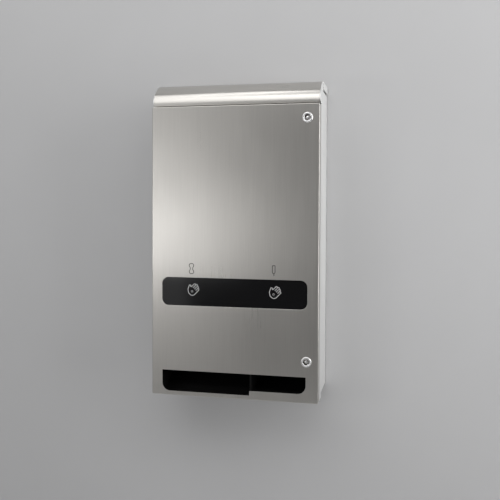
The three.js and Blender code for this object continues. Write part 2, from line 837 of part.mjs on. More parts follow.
// Gears with involute flanks; the first tooth points at startAngle
function gearShape(teeth, startAngle, boreRadius) {
  const pitchRadius = teeth * gearModule / 2;
  const baseRadius = pitchRadius * Math.cos(pressureAngle);
  const tipRadius = pitchRadius + addendumShare * gearModule;
  const rootRadius = pitchRadius - dedendumShare * gearModule;
  const roll = (radius) => {
    const angle = Math.acos(Math.min(1, baseRadius / radius));
    return Math.tan(angle) - angle;
  };
  const pitchHalf = quarterTurn / teeth - toothPlay / 2 / pitchRadius;
  const halfAngle = (radius) => pitchHalf + roll(pitchRadius) - roll(Math.max(radius, baseRadius));
  const flank = [rootRadius, Math.max(baseRadius, rootRadius + toothPlay / 2), pitchRadius, tipRadius];
  const at = (radius, angle) => new THREE.Vector2(radius * Math.cos(angle), radius * Math.sin(angle));
  const points = Array.from({ length: teeth }, (unused, index) => {
    const middle = startAngle + fullTurn * index / teeth;
    const rising = flank.map((radius) => at(radius, middle - halfAngle(radius)));
    const falling = flank.map((radius) => at(radius, middle + halfAngle(radius))).reverse();
    return [...rising, ...falling];
  });
  const shape = new THREE.Shape(points.flat());
  if (boreRadius > 0) shape.holes.push(roundHole(boreRadius));
  return shape;
}

// One product's drive. Along X, gearSide is +1 where the gear is at the right.
const gearReach = (gearTeeth + pinionTeeth) * gearModule / 2;

function driveStack(innerWidth) {
  const armInner = innerWidth / 2 + rotorEndGap;
  const armOuter = armInner + sheet;
  const bushEnd = armOuter + bushProud;
  const gearStart = bushEnd + gearSideGap;
  const gearEnd = gearStart + gearWidth;
  return { armInner, armOuter, bushEnd, gearStart, gearEnd };
}

function makeDrive({ name, x, y, z, innerWidth, rotor, gearSide, pinionAngle, motorFace }) {
  const { armInner, armOuter, bushEnd, gearStart, gearEnd } = driveStack(innerWidth);
  const flangeInner = armInner - fitGap - bushFlange;
  const spanX = (near, far) => ({
    left: Math.min(gearSide * near, gearSide * far),
    right: Math.max(gearSide * near, gearSide * far),
  });
  const barX = (radius, near, far, sides) => {
    const { left, right } = spanX(near, far);
    return rodX(radius, left, right, sides);
  };

  const arms = [-1, 1].map((side) => block({
    left: Math.min(side * armInner, side * armOuter),
    right: Math.max(side * armInner, side * armOuter),
    front: -armHalfHeight, back: backSeat - y, bottom: -armHalfHeight, top: armHalfHeight,
  }));
  const web = block({
    left: -armOuter, right: armOuter,
    front: backSeat - y - sheet, back: backSeat - y, bottom: -armHalfHeight, top: armHalfHeight,
  });
  const armHole = rodX(bushRadius + fitGap, -armOuter - overrun, armOuter + overrun, smallSides);
  const bracket = carve(join([web, ...arms]), [armHole]);

  const bush = (side) => turnedY([
    [shaftRadius + fitGap, flangeInner], [bushFlangeRadius, flangeInner],
    [bushFlangeRadius, flangeInner + bushFlange], [bushRadius, flangeInner + bushFlange],
    [bushRadius, bushEnd], [shaftRadius + fitGap, bushEnd],
  ], smallSides).rotateZ(-side * quarterTurn);

  const shaft = barX(shaftRadius, -bushEnd - shaftOverhang, gearEnd + fitGap, smallSides);
  const gearSpan = spanX(gearStart, gearEnd);
  const gear = alongX(gearShape(gearTeeth, pinionAngle, shaftRadius + fitGap), gearSpan.left, gearSpan.right);

  const pinionSpan = spanX(gearStart - pinionExtra / 2, gearEnd + pinionExtra);
  const pinionStart = pinionAngle + halfTurn + halfTurn / pinionTeeth;
  const pinion = join([
    alongX(gearShape(pinionTeeth, pinionStart, 0), pinionSpan.left, pinionSpan.right),
    barX(motorShaftRadius, gearEnd, motorFace + motorShaftSink, smallSides),
  ]);
  const motorBody = barX(motorRadius, motorFace, motorFace + motorLength);
  const sinkHole = barX(
    motorShaftRadius + fitGap, motorFace - overrun, motorFace + motorShaftSink + fitGap, smallSides,
  );
  const pinionY = gearReach * Math.cos(pinionAngle);
  const pinionZ = gearReach * Math.sin(pinionAngle);
  const pinionMesh = piece(`${name}_pinion`, pinion, 'zinc');
  const motorMesh = piece(`${name}_motor`, carve(motorBody, [sinkHole]), 'zinc');
  pinionMesh.position.set(0, pinionY, pinionZ);
  motorMesh.position.set(0, pinionY, pinionZ);

  return group([
    piece(`${name}_bracket`, bracket, 'galvanised'),
    piece(`${name}_bush_left`, bush(-1), 'bronze'),
    piece(`${name}_bush_right`, bush(1), 'bronze'),
    piece(`${name}_shaft`, shaft, 'zinc'),
    piece(`${name}_rotor`, rotor(flangeInner - fitGap), 'whitePlastic'),
    piece(`${name}_gear`, gear, 'whitePlastic'),
    pinionMesh,
    motorMesh,
  ], x, y, z);
}

// Motor bracket: one arm for each motor, between the two drives
const padArmX = padX + driveStack(padInner).gearEnd + motorArmGap;
const tamponArmX = tamponX - driveStack(tamponInner).gearEnd - motorArmGap;
const padPinionAngle = quarterTurn;
const tamponPinionAngle = 0;
const padMotorY = padRotorY + gearReach * Math.cos(padPinionAngle);
const padMotorZ = padRotorZ + gearReach * Math.sin(padPinionAngle);
const tamponMotorY = tamponRotorY + gearReach * Math.cos(tamponPinionAngle);
const tamponMotorZ = tamponRotorZ + gearReach * Math.sin(tamponPinionAngle);

function makeMotorBracket() {
  const front = Math.min(padMotorY, tamponMotorY) - motorArmMargin;
  const bottom = Math.min(padMotorZ, tamponMotorZ) - motorArmMargin;
  const top = Math.max(padMotorZ, tamponMotorZ) + motorArmMargin;
  const arms = [padArmX, tamponArmX - sheet].map((left) => (
    block({ left, right: left + sheet, front, back: backSeat, bottom, top })
  ));
  const web = block({
    left: padArmX, right: tamponArmX, front: backSeat - sheet, back: backSeat, bottom, top,
  });
  const shaftHole = motorShaftRadius + runGap;
  const holes = [
    rodX(shaftHole, padArmX - overrun, padArmX + sheet + overrun, smallSides)
      .translate(0, padMotorY, padMotorZ),
    rodX(shaftHole, tamponArmX - sheet - overrun, tamponArmX + overrun, smallSides)
      .translate(0, tamponMotorY, tamponMotorZ),
  ];
  return piece('motor_bracket', carve(join([web, ...arms]), holes), 'galvanised');
}

// Hand sensors on a rail that is screwed to the case's front flanges
const railRear = caseFront - fitGap;
const railFront = railRear - sheet;

function makeSensors() {
  const half = innerHalf - railEnd;
  const strip = block({
    left: -half, right: half, front: railFront, back: railRear,
    bottom: windowMiddle - railHeight / 2, top: windowMiddle + railHeight / 2,
  });
  const throughRail = (radius, x) => (
    rodY(radius, railFront - overrun, railRear + overrun, smallSides).translate(x, 0, windowMiddle)
  );
  const rail = piece('sensor_rail', carve(strip, [
    throughRail(screwRadius + fitGap, -railScrewX),
    throughRail(screwRadius + fitGap, railScrewX),
    throughRail(cableHole, sensorX.pad),
    throughRail(cableHole, sensorX.tampon),
  ]), 'galvanised');
  const headRear = railFront - fitGap;
  const screws = { left: -railScrewX, right: railScrewX };
  const screwMeshes = Object.entries(screws).map(([side, x]) => {
    const screw = piece(`rail_screw_${side}`, join([
      rodY(screwHead, headRear - screwHeadHeight, headRear, smallSides),
      rodY(screwRadius, headRear - screwHeadHeight / 2, headRear + screwLength, smallSides),
    ]), 'zinc');
    screw.position.set(x, 0, windowMiddle);
    return screw;
  });
  const sensors = Object.entries(sensorX).map(([name, x]) => {
    const bodyRear = railFront - fitGap;
    const bodyFront = bodyRear - sensorDepth;
    const body = block({
      left: -sensorWidth / 2, right: sensorWidth / 2, front: bodyFront, back: bodyRear,
      bottom: -sensorHeight / 2, top: sensorHeight / 2,
    });
    const eyes = [-eyeSpread, eyeSpread].map((offset) => (
      rodY(eyeRadius, bodyFront - eyeHeight, bodyFront + sensorDepth / 2, smallSides).translate(offset, 0, 0)
    ));
    const sensor = piece(`${name}_sensor`, join([body, ...eyes]), 'blackPlastic');
    sensor.position.set(x, 0, windowMiddle);
    return sensor;
  });
  return [rail, ...screwMeshes, ...sensors];
}

// Batteries stand in a trough with a hinged cover, between the two columns
const batteryInnerHalf = cellRadius + cellPlay;
const batteryHalf = batteryInnerHalf + batteryWall;
const cellPitch = cellLength + fitGap;
const batteryBottom = padMotorZ + motorRadius + batteryOverMotor;
const cellCount = Math.floor((boardBottom - batteryBottom - plugRoom) / cellPitch);
const batteryTop = batteryBottom + 2 * batteryWall + cellCount * cellPitch + cellPlay;
const batteryFront = backSeat - batteryDepth;

function makeBatteries() {
  const coverX = -batteryHalf - fitGap - coverKnuckle;
  const coverY = batteryFront - fitGap;
  const shell = block({
    left: -batteryHalf, right: batteryHalf, front: batteryFront, back: backSeat,
    bottom: batteryBottom, top: batteryTop,
  });
  const hollow = block({
    left: -batteryInnerHalf, right: batteryInnerHalf,
    front: batteryFront - overrun, back: backSeat - batteryWall,
    bottom: batteryBottom + batteryWall, top: batteryTop - batteryWall,
  });
  const low = batteryBottom + coverKnuckleEnd;
  const high = batteryTop - coverKnuckleEnd;
  const knuckle = (bottom, reach) => {
    const top = bottom + coverKnuckleLength;
    const plate = block({
      left: coverX, right: reach.right, front: reach.front, back: reach.back, bottom, top,
    });
    return [rodZ(coverKnuckle, bottom, top, smallSides).translate(coverX, coverY, 0), plate];
  };
  const lugReach = { right: -batteryInnerHalf, front: coverY, back: coverY + coverKnuckle };
  const lugTrim = block({
    left: -batteryHalf, right: batteryHalf, front: coverY - coverKnuckle - overrun, back: batteryFront,
    bottom: batteryBottom, top: batteryTop,
  });
  const coverReach = { right: -batteryInnerHalf, front: coverY - coverKnuckle, back: coverY - coverKnuckle / 2 };
  const bore = rodZ(coverPin + fitGap, batteryBottom, batteryTop, smallSides).translate(coverX, coverY, 0);
  const lugs = [low, high - coverKnuckleLength].flatMap((bottom) => knuckle(bottom, lugReach));
  const trough = carve(join([shell, ...lugs]), [hollow, lugTrim, bore]);
  const coverPlate = block({
    left: -batteryHalf, right: batteryHalf, front: coverY - coverKnuckle, back: coverY,
    bottom: batteryBottom, top: batteryTop,
  });
  const coverKnuckles = [low + coverKnuckleLength + fitGap, high - 2 * coverKnuckleLength - fitGap];
  const coverParts = coverKnuckles.flatMap((bottom) => knuckle(bottom, coverReach));
  const cover = carve(join([coverPlate, ...coverParts]), [bore]);
  const pin = rodZ(coverPin, low, high, smallSides).translate(coverX, coverY, 0);
  const cells = Array.from({ length: cellCount }, (unused, index) => {
    const body = cellLength - cellCap;
    const cell = piece(`battery_cell_${index + 1}`, join([
      rodZ(cellRadius, 0, body),
      rodZ(cellCapRadius, body / 2, cellLength, smallSides),
    ]), 'cellSleeve');
    const cellY = backSeat - batteryWall - fitGap - cellRadius;
    cell.position.set(0, cellY, batteryBottom + batteryWall + fitGap + index * cellPitch);
    return cell;
  });
  return group([
    piece('battery_case', trough, 'greyPlastic'),
    piece('battery_cover', cover, 'greyPlastic'),
    piece('battery_cover_pin', pin, 'zinc'),
    ...cells,
  ], centreX, 0, 0);
}

// Control board on the case's studs, with its test button
const plugX = { motor: 12, sensor: -12 };

function makeBoard() {
  const board = block({
    left: centreX - boardWidth / 2, right: centreX + boardWidth / 2,
    front: boardFront, back: boardRear, bottom: boardBottom, top: boardBottom + boardHeight,
  });
  const onBoard = (sizes, x) => block({
    left: x - sizes.width / 2, right: x + sizes.width / 2,
    front: boardFront - sizes.depth, back: boardFront + boardThickness / 2,
    bottom: boardBottom + sizes.rise, top: boardBottom + sizes.rise + sizes.height,
  });
  const switchBody = onBoard(
    { width: switchSide, height: switchSide, depth: switchHeight, rise: switchRise },
    centreX,
  );
  const buttonZ = boardBottom + switchRise + switchSide / 2;
  const wellRear = boardFront - switchHeight + buttonSink + buttonTravel + fitGap;
  const well = rodY(buttonRadius + fitGap, boardFront - switchHeight - overrun, wellRear)
    .translate(centreX, 0, buttonZ);
  const pinHoles = boardPins().map(([x, z]) => (
    rodY(boardPinRadius + fitGap, boardFront - overrun, boardRear + overrun, smallSides).translate(x, 0, z)
  ));
  const populated = join([
    board,
    onBoard(chipSizes, centreX),
    onBoard(plugSizes, centreX + plugX.motor),
    onBoard(plugSizes, centreX + plugX.sensor),
    switchBody,
  ]);
  const switchFront = boardFront - switchHeight;
  const button = rodY(buttonRadius, switchFront - buttonProud, switchFront + buttonSink);
  const buttonMesh = piece('test_button', button, 'buttonRed');
  buttonMesh.position.set(centreX, 0, buttonZ);
  return [piece('control_board', carve(populated, [well, ...pinHoles]), 'boardGreen'), buttonMesh];
}

// A cable runs straight between its points and bends round each one
function cableCurve(points) {
  const path = new THREE.CurvePath();
  let from = points[0];
  points.slice(1, -1).forEach((corner, index) => {
    const after = points[index + 2];
    const reach = Math.min(cableBend, corner.distanceTo(points[index]) / 2, corner.distanceTo(after) / 2);
    const start = corner.clone().add(points[index].clone().sub(corner).setLength(reach));
    const end = corner.clone().add(after.clone().sub(corner).setLength(reach));
    path.add(new THREE.LineCurve3(from, start));
    path.add(new THREE.QuadraticBezierCurve3(start, corner, end));
    from = end;
  });
  path.add(new THREE.LineCurve3(from, points.at(-1)));
  return path;
}

function cable(points) {
  const section = new THREE.Shape(arcPoints(0, 0, cableRadius, 0, fullTurn, cableSides).slice(1));
  const curve = cableCurve(points);
  return new THREE.ExtrudeGeometry(section, {
    steps: Math.ceil(curve.getLength() / cableStep), bevelEnabled: false, extrudePath: curve,
  });
}

function makeCables() {
  const plugFront = boardFront - plugSizes.depth / 2;
  const underPlug = boardBottom - fitGap;
  const turnHeight = (batteryTop + boardBottom) / 2;
  const lowTurn = (batteryBottom + padMotorZ + motorRadius) / 2;
  const columnLeft = tamponX - tamponInner / 2 - sheet;
  const columnRight = padX + padInner / 2 + sheet;
  const rightChannel = (centreX + batteryHalf + columnLeft) / 2;
  const leftChannel = (centreX - batteryHalf + columnRight) / 2;
  const channelY = backSeat - batteryDepth / 2;
  const motorMiddle = (padArmX + tamponArmX) / 2;
  const point = (x, y, z) => new THREE.Vector3(x, y, z);
  const motorRun = cable([
    point(centreX + plugX.motor, plugFront, underPlug),
    point(centreX + plugX.motor, plugFront, turnHeight),
    point(rightChannel, channelY, turnHeight),
    point(rightChannel, channelY, lowTurn),
    point(motorMiddle, padMotorY, lowTurn),
    point(motorMiddle, padMotorY, padMotorZ + motorRadius + fitGap),
  ]);
  const behindRail = (railRear + padColumnFront - sheet) / 2;
  const sensorRun = cable([
    point(centreX + plugX.sensor, plugFront, underPlug),
    point(centreX + plugX.sensor, plugFront, turnHeight),
    point(leftChannel, channelY, turnHeight),
    point(leftChannel, channelY, lowTurn),
    point(leftChannel, behindRail, lowTurn),
    point(leftChannel, behindRail, windowMiddle),
  ]);
  const branches = cable([
    point(sensorX.pad, railFront, windowMiddle),
    point(sensorX.pad, behindRail, windowMiddle),
    point(sensorX.tampon, behindRail, windowMiddle),
    point(sensorX.tampon, railFront, windowMiddle),
  ]);
  return [
    piece('motor_cable', motorRun, 'blackPlastic'),
    piece('sensor_cable', join([sensorRun, branches]), 'blackPlastic'),
  ];
}

// Assembly
const padColumnBottom = padRotorZ + padRotorRadius + rotorTopGap;
const tamponColumnBottom = tamponRotorZ + tamponRotorRadius + rotorTopGap;
const tamponColumnDepth = tamponDiameter + columnPlay;

const assembly = group([
  makeCase(),
  makeBack(),
  makeFloor(),
  makeHood(),
  makeHinge(),
  makeDoor(),
  ...makeWindow(),
  ...Object.entries(lockHeights).map(([name, height]) => makeLock(name, height)),
  makeTray(),
  makeColumn('pad_magazine', padX, padInner, padColumnFront, padColumnDepth, padColumnBottom),
  makeColumn(
    'tampon_magazine', tamponX, tamponInner, tamponRotorY - tamponColumnDepth / 2,
    tamponColumnDepth, tamponColumnBottom,
  ),
  makeDrive({
    name: 'pad', x: padX, y: padRotorY, z: padRotorZ, innerWidth: padInner, rotor: padRotor,
    gearSide: 1, pinionAngle: padPinionAngle, motorFace: padArmX - padX + sheet + fitGap,
  }),
  makeDrive({
    name: 'tampon', x: tamponX, y: tamponRotorY, z: tamponRotorZ, innerWidth: tamponInner, rotor: tamponRotor,
    gearSide: -1, pinionAngle: tamponPinionAngle, motorFace: tamponX - tamponArmX + sheet + fitGap,
  }),
  makeMotorBracket(),
  ...makeSensors(),
  makeBatteries(),
  ...makeBoard(),
  ...makeCables(),
]);
assembly.position.z = -caseHeight / 2;

const dispenser = new THREE.Group();
dispenser.add(assembly);

export default dispenser;
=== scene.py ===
"""Looks for a wall-mounted dispenser of pads and tampons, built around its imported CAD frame, in metres.

+X is the viewer's right, the wall is the plane Y = 0, the door faces -Y and +Z is up.
Heights are measured from the door's bottom edge.
"""

import json
import math
from collections import namedtuple

import bmesh
import bpy
from mathutils import Matrix, Vector

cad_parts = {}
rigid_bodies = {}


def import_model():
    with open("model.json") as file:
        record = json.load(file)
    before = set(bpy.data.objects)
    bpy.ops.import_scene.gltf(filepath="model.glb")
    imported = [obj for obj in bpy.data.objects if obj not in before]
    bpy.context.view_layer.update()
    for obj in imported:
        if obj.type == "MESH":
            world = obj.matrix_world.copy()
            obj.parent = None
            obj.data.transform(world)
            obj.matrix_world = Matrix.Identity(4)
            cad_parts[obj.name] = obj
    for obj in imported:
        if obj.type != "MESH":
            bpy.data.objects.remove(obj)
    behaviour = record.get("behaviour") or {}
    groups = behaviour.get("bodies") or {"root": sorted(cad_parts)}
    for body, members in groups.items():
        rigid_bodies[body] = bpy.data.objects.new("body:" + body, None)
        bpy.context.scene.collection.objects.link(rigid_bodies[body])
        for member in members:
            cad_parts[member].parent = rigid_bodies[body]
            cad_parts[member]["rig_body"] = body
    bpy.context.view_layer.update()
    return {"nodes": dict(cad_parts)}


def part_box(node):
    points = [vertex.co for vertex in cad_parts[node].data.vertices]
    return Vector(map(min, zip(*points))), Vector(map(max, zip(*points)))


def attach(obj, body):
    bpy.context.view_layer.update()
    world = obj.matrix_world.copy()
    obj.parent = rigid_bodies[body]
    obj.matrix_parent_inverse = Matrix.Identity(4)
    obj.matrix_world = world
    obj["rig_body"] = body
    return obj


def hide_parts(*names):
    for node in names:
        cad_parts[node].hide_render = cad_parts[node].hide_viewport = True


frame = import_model()

# Sheet metal and clearances
SHEET = 0.0012
GAP = 0.0003
BEND = 0.0016
DOOR_BEND = 0.0013
EDGE = 0.00022
PRINT = 0.00006
HOLE_ROLL = 0.0007
OVERRUN = 0.002

# Roundness of curves and joins of meshes
ARC_STEP = math.radians(9)
ROUND_SIDES = 48
SCREW_SIDES = 32
SMALL_SIDES = 24
LUG_SIDES = 16
KEY_PIN_SIDES = 12
ROLL_STEPS = 5
WELD = 0.000002
SMOOTH_ANGLE = math.radians(32)
HOLE_EDGE_ANGLE = math.radians(50)
FLAT_ANGLE = math.radians(0.4)

# Places taken from the frame
DOOR_LOW, DOOR_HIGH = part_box("door_panel")
CASE_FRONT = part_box("case_floor")[0].y
HOOD_LOW, HOOD_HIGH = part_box("hood")
HALF = DOOR_HIGH.x
INNER = HALF - SHEET
FRONT = DOOR_LOW.y
TOP = HOOD_HIGH.z


def up(height):
    return DOOR_LOW.z + height


Span = namedtuple("Span", "left right front back bottom top")


def span(node):
    """The planes of a CAD node's box."""
    low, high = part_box(node)
    return Span(low.x, high.x, low.y, high.y, low.z, high.z)


def middle(node):
    low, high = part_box(node)
    return (low + high) / 2


# Lines and outlines

def rounded(corners, closed=True):
    """A line through corners given as (x, y, radius). Each corner with a radius is turned by an arc."""
    points = []
    count = len(corners)
    for index, (x, y, radius) in enumerate(corners):
        corner = Vector((x, y))
        at_end = not closed and index in (0, count - 1)
        if radius == 0 or at_end:
            points.append(corner)
            continue
        before = (Vector(corners[index - 1][:2]) - corner).normalized()
        after = (Vector(corners[(index + 1) % count][:2]) - corner).normalized()
        half = before.angle(after) / 2
        centre = corner + (before + after).normalized() * radius / math.sin(half)
        start = corner + before * radius / math.tan(half) - centre
        end = corner + after * radius / math.tan(half) - centre
        turn = math.atan2(start.x * end.y - start.y * end.x, start.dot(end))
        steps = max(2, round(abs(turn) / ARC_STEP))
        for step in range(steps + 1):
            points.append(centre + Matrix.Rotation(turn * step / steps, 2) @ start)
    return points


def arc(x, y, radius, start, end):
    """Points on an arc between two angles."""
    steps = max(2, round(abs(end - start) / ARC_STEP))
    angles = [start + (end - start) * step / steps for step in range(steps + 1)]
    return [Vector((x + radius * math.cos(angle), y + radius * math.sin(angle))) for angle in angles]


def circle(x, y, radius):
    return arc(x, y, radius, 0, math.tau)[:-1]


def rectangle(left, right, bottom, top, radius=0):
    corners = [(left, bottom), (right, bottom), (right, top), (left, top)]
    return rounded([(x, y, radius) for x, y in corners])


def square(x, y, half, radius=0):
    return rectangle(x - half, x + half, y - half, y + half, radius)


def face_of(place, inset=0, radius=0):
    """The outline of a box seen from the front, drawn in by an inset."""
    return rectangle(place.left + inset, place.right - inset, place.bottom + inset, place.top - inset, radius)


def corner_places(place, across, along):
    """The four places that lie in from the corners of a box seen from the front."""
    return [
        (x, z)
        for x in (place.left + across, place.right - across)
        for z in (place.bottom + along, place.top - along)
    ]


def chamfered(corners):
    """A closed line through corners given as (x, y, edge). An edge takes its corner off evenly."""
    line = []
    for index, (x, y, edge) in enumerate(corners):
        corner = Vector((x, y))
        if edge == 0:
            line.append(corner)
            continue
        for neighbour in (corners[index - 1], corners[(index + 1) % len(corners)]):
            line.append(corner + (Vector(neighbour[:2]) - corner).normalized() * edge)
    return line


def beside(line, distance, closed=False):
    """The line moved to its left by a distance."""
    last = len(line) - 1
    found = []
    for index, point in enumerate(line):
        if closed:
            behind = point - line[index - 1]
            ahead = line[(index + 1) % len(line)] - point
        else:
            behind = line[max(index, 1)] - line[max(index - 1, 0)]
            ahead = line[min(index + 1, last)] - line[min(index, last - 1)]
        between = (behind.normalized() + ahead.normalized()).normalized()
        left = Vector((-between.y, between.x))
        found.append(point + left * distance / left.dot(Vector((-ahead.y, ahead.x)).normalized()))
    return found


def thickened(line, thickness):
    """The closed section of a sheet: its line, and the line moved to its left by the thickness."""
    return line + beside(line, thickness)[::-1]


def stroke(line, width, closed=True):
    """The loops round a drawn line of some width."""
    if closed:
        return [beside(line, width / 2, True), beside(line, -width / 2, True)]
    return [beside(line, width / 2) + beside(line, -width / 2)[::-1]]


def turned(line, angle, x=0, y=0):
    """The line turned about the origin and moved."""
    return [Matrix.Rotation(angle, 2) @ point + Vector((x, y)) for point in line]


def bent(corners, thickness=SHEET):
    return thickened(rounded(corners, closed=False), thickness)


# Solids. Each function gives a mesh that stands in the part's own frame.

AXES = {
    "X": Matrix(((0, 0, 1), (1, 0, 0), (0, 1, 0))).to_4x4(),
    "Y": Matrix(((1, 0, 0), (0, 0, -1), (0, 1, 0))).to_4x4(),
    "Z": Matrix.Identity(4),
}


def mesh_from(bm):
    bmesh.ops.remove_doubles(bm, verts=bm.verts, dist=WELD)
    bmesh.ops.recalc_face_normals(bm, faces=bm.faces)
    mesh = bpy.data.meshes.new("solid")
    bm.to_mesh(mesh)
    bm.free()
    return mesh


def mesh_of_curve(curve):
    holder = bpy.data.objects.new("curve", curve)
    bm = bmesh.new()
    bm.from_mesh(bpy.data.meshes.new_from_object(holder))
    bpy.data.objects.remove(holder)
    bpy.data.curves.remove(curve)
    return mesh_from(bm)


def flat_curve(loops):
    """A filled flat curve: its outline, loops[0], less the other loops."""
    curve = bpy.data.curves.new("outline", "CURVE")
    curve.dimensions = "2D"
    curve.fill_mode = "BOTH"
    for loop in loops:
        spline = curve.splines.new("POLY")
        spline.points.add(len(loop) - 1)
        spline.use_cyclic_u = True
        for point, (x, y) in zip(spline.points, loop):
            point.co = (x, y, 0, 1)
    return curve


def prism(loops, axis, low, high, edge=EDGE):
    """A solid between two planes across an axis, with broken edges: its outline less the other loops."""
    curve = flat_curve(loops)
    curve.extrude = (high - low) / 2 - edge
    curve.bevel_depth = edge
    curve.bevel_resolution = 1
    curve.offset = -edge
    mesh = mesh_of_curve(curve)
    centre = (low + high) / 2 * (-1 if axis == "Y" else 1)
    mesh.transform(AXES[axis] @ Matrix.Translation((0, 0, centre)))
    return mesh


def skin(bm, loops):
    """Faces between each loop of points and the next one."""
    for loop, following in zip(loops, loops[1:]):
        for index in range(len(loop)):
            after = (index + 1) % len(loop)
            bm.faces.new((loop[index], loop[after], following[after], following[index]))


def lathe(profile, axis, centre, sides=ROUND_SIDES):
    """A solid turned about an axis through a place, from a closed list of (radius, place along the axis)."""
    bm = bmesh.new()
    sign = -1 if axis == "Y" else 1
    rings = []
    for side in range(sides):
        angle = math.tau * side / sides
        rings.append([
            bm.verts.new((radius * math.cos(angle), radius * math.sin(angle), sign * along))
            for radius, along in profile
        ])
    skin(bm, rings + rings[:1])
    mesh = mesh_from(bm)
    place = Vector(centre)
    place["XYZ".index(axis)] = 0
    mesh.transform(Matrix.Translation(place) @ AXES[axis])
    return mesh


def rod(radius, axis, low, high, centre, edge=EDGE, sides=ROUND_SIDES):
    """A round bar along an axis, with broken ends. Centre gives its place across that axis."""
    profile = [
        (0, low), (radius - edge, low), (radius, low + edge),
        (radius, high - edge), (radius - edge, high), (0, high),
    ]
    return lathe(profile, axis, centre, sides)


def box(left, right, front, back, bottom, top, edge=EDGE):
    bm = bmesh.new()
    bmesh.ops.create_cube(bm, size=1)
    size = Matrix.Diagonal((right - left, back - front, top - bottom, 1))
    place = Matrix.Translation(((left + right) / 2, (front + back) / 2, (bottom + top) / 2))
    bm.transform(place @ size)
    bmesh.ops.bevel(bm, geom=bm.edges, offset=edge, segments=2, affect="EDGES", profile=0.5)
    return mesh_from(bm)


def flared(outline, front, back, roll):
    """A tool for a punched hole whose front edge is rolled in."""
    rings = [(roll, front - OVERRUN)]
    for step in range(ROLL_STEPS + 1):
        turn = math.pi / 2 * step / ROLL_STEPS
        rings.append((roll * (1 - math.sin(turn)), front + roll * (1 - math.cos(turn))))
    rings.append((0, back))
    bm = bmesh.new()
    loops = [[bm.verts.new((x, y, z)) for x, z in beside(outline, -grow, True)] for grow, y in rings]
    skin(bm, loops)
    bm.faces.new(loops[0])
    bm.faces.new(loops[-1])
    return mesh_from(bm)


def moved(mesh, x=0, y=0, z=0):
    mesh.transform(Matrix.Translation((x, y, z)))
    return mesh


def shown_once(mesh, *modifiers):
    """The mesh as it is after modifiers, each given as its kind and its settings."""
    holder = bpy.data.objects.new("holder", mesh)
    bpy.context.scene.collection.objects.link(holder)
    for kind, settings in modifiers:
        modifier = holder.modifiers.new(kind, kind)
        for key, value in settings.items():
            setattr(modifier, key, value)
    bpy.context.view_layer.update()
    done = bpy.data.meshes.new_from_object(holder.evaluated_get(bpy.context.evaluated_depsgraph_get()))
    bpy.data.objects.remove(holder)
    bpy.data.meshes.remove(mesh)
    return done


def cut(mesh, *tools):
    """The solid less other solids."""
    holders = [bpy.data.objects.new("tool", tool) for tool in tools]
    for holder in holders:
        bpy.context.scene.collection.objects.link(holder)
    steps = [
        ("BOOLEAN", {"operation": "DIFFERENCE", "solver": "EXACT", "use_self": True, "object": holder})
        for holder in holders
    ]
    done = shown_once(mesh, *steps)
    for holder, tool in zip(holders, tools):
        bpy.data.objects.remove(holder)
        bpy.data.meshes.remove(tool)
    bm = bmesh.new()
    bm.from_mesh(done)
    bpy.data.meshes.remove(done)
    bmesh.ops.dissolve_limit(bm, angle_limit=FLAT_ANGLE, verts=bm.verts, edges=bm.edges)
    return mesh_from(bm)


# Materials

def feed(tree, socket, value):
    """Sets a socket to a value, or links it where the value is the socket of another node."""
    if isinstance(value, bpy.types.NodeSocket):
        tree.links.new(value, socket)
    else:
        socket.default_value = value


def add_node(tree, kind, inputs=None, **settings):
    """Adds a node. Its inputs are values or the sockets of other nodes."""
    made = tree.nodes.new(kind)
    for key, value in settings.items():
        setattr(made, key, value)
    for key, value in (inputs or {}).items():
        feed(tree, made.inputs[key], value)
    return made


# The noise has a knot at its own origin, where all its octaves meet, so that origin lies well off the part.
NOISE_SHIFT = (41.3, 27.9, 63.7)


def grained(tree, scale, detail=3.0, roughness=0.6):
    """Noise drawn out by a different scale along each axis of the part."""
    place = add_node(tree, "ShaderNodeTexCoord").outputs["Object"]
    mapping = add_node(tree, "ShaderNodeMapping", {"Vector": place, "Location": NOISE_SHIFT, "Scale": scale})
    noise = add_node(
        tree, "ShaderNodeTexNoise",
        {"Vector": mapping.outputs["Vector"], "Scale": 1.0, "Detail": detail, "Roughness": roughness},
    )
    return noise.outputs["Fac"]


def spread(tree, value, low, high, inside=(0.3, 0.7)):
    """Maps a noise value to a range."""
    made = add_node(tree, "ShaderNodeMapRange", {
        "Value": value, "From Min": inside[0], "From Max": inside[1], "To Min": low, "To Max": high,
    })
    return made.outputs["Result"]


# How wide the edges are that get a lighter colour, for wear and for a painted highlight
WORN_HIGHLIT_EDGE = 0.0006
EDGE_SAMPLES = 4
EDGE_LEAN = (0.8, 0.98)


def worn_and_highlit_edges(tree):
    """One at an edge, and nothing on the flat, from how far a rounded normal leans from the true one. It
    marks where colour is lightened, for wear and for a painted highlight.
    """
    soft = add_node(tree, "ShaderNodeBevel", {"Radius": WORN_HIGHLIT_EDGE}, samples=EDGE_SAMPLES).outputs["Normal"]
    true = add_node(tree, "ShaderNodeNewGeometry").outputs["Normal"]
    lean = add_node(tree, "ShaderNodeVectorMath", {0: soft, 1: true}, operation="DOT_PRODUCT")
    return spread(tree, lean.outputs["Value"], 1.0, 0.0, EDGE_LEAN)


MIX_FIRST = 6
MIX_SECOND = 7
MIX_RESULT = 2


def mixed(tree, share, first, second):
    """Two colours mixed, with a share of the second one."""
    inputs = {"Factor": share, MIX_FIRST: first, MIX_SECOND: second}
    return add_node(tree, "ShaderNodeMix", inputs, data_type="RGBA").outputs[MIX_RESULT]


def shaded(colour, factor):
    return tuple(min(1.0, part * factor) for part in colour) + (1.0,)


CLOUD_SHADE_SHARE = 0.6
BUMP_DEPTH = 0.0001
BRUSH_PLANE = (0.0, 0.03, 1.0)


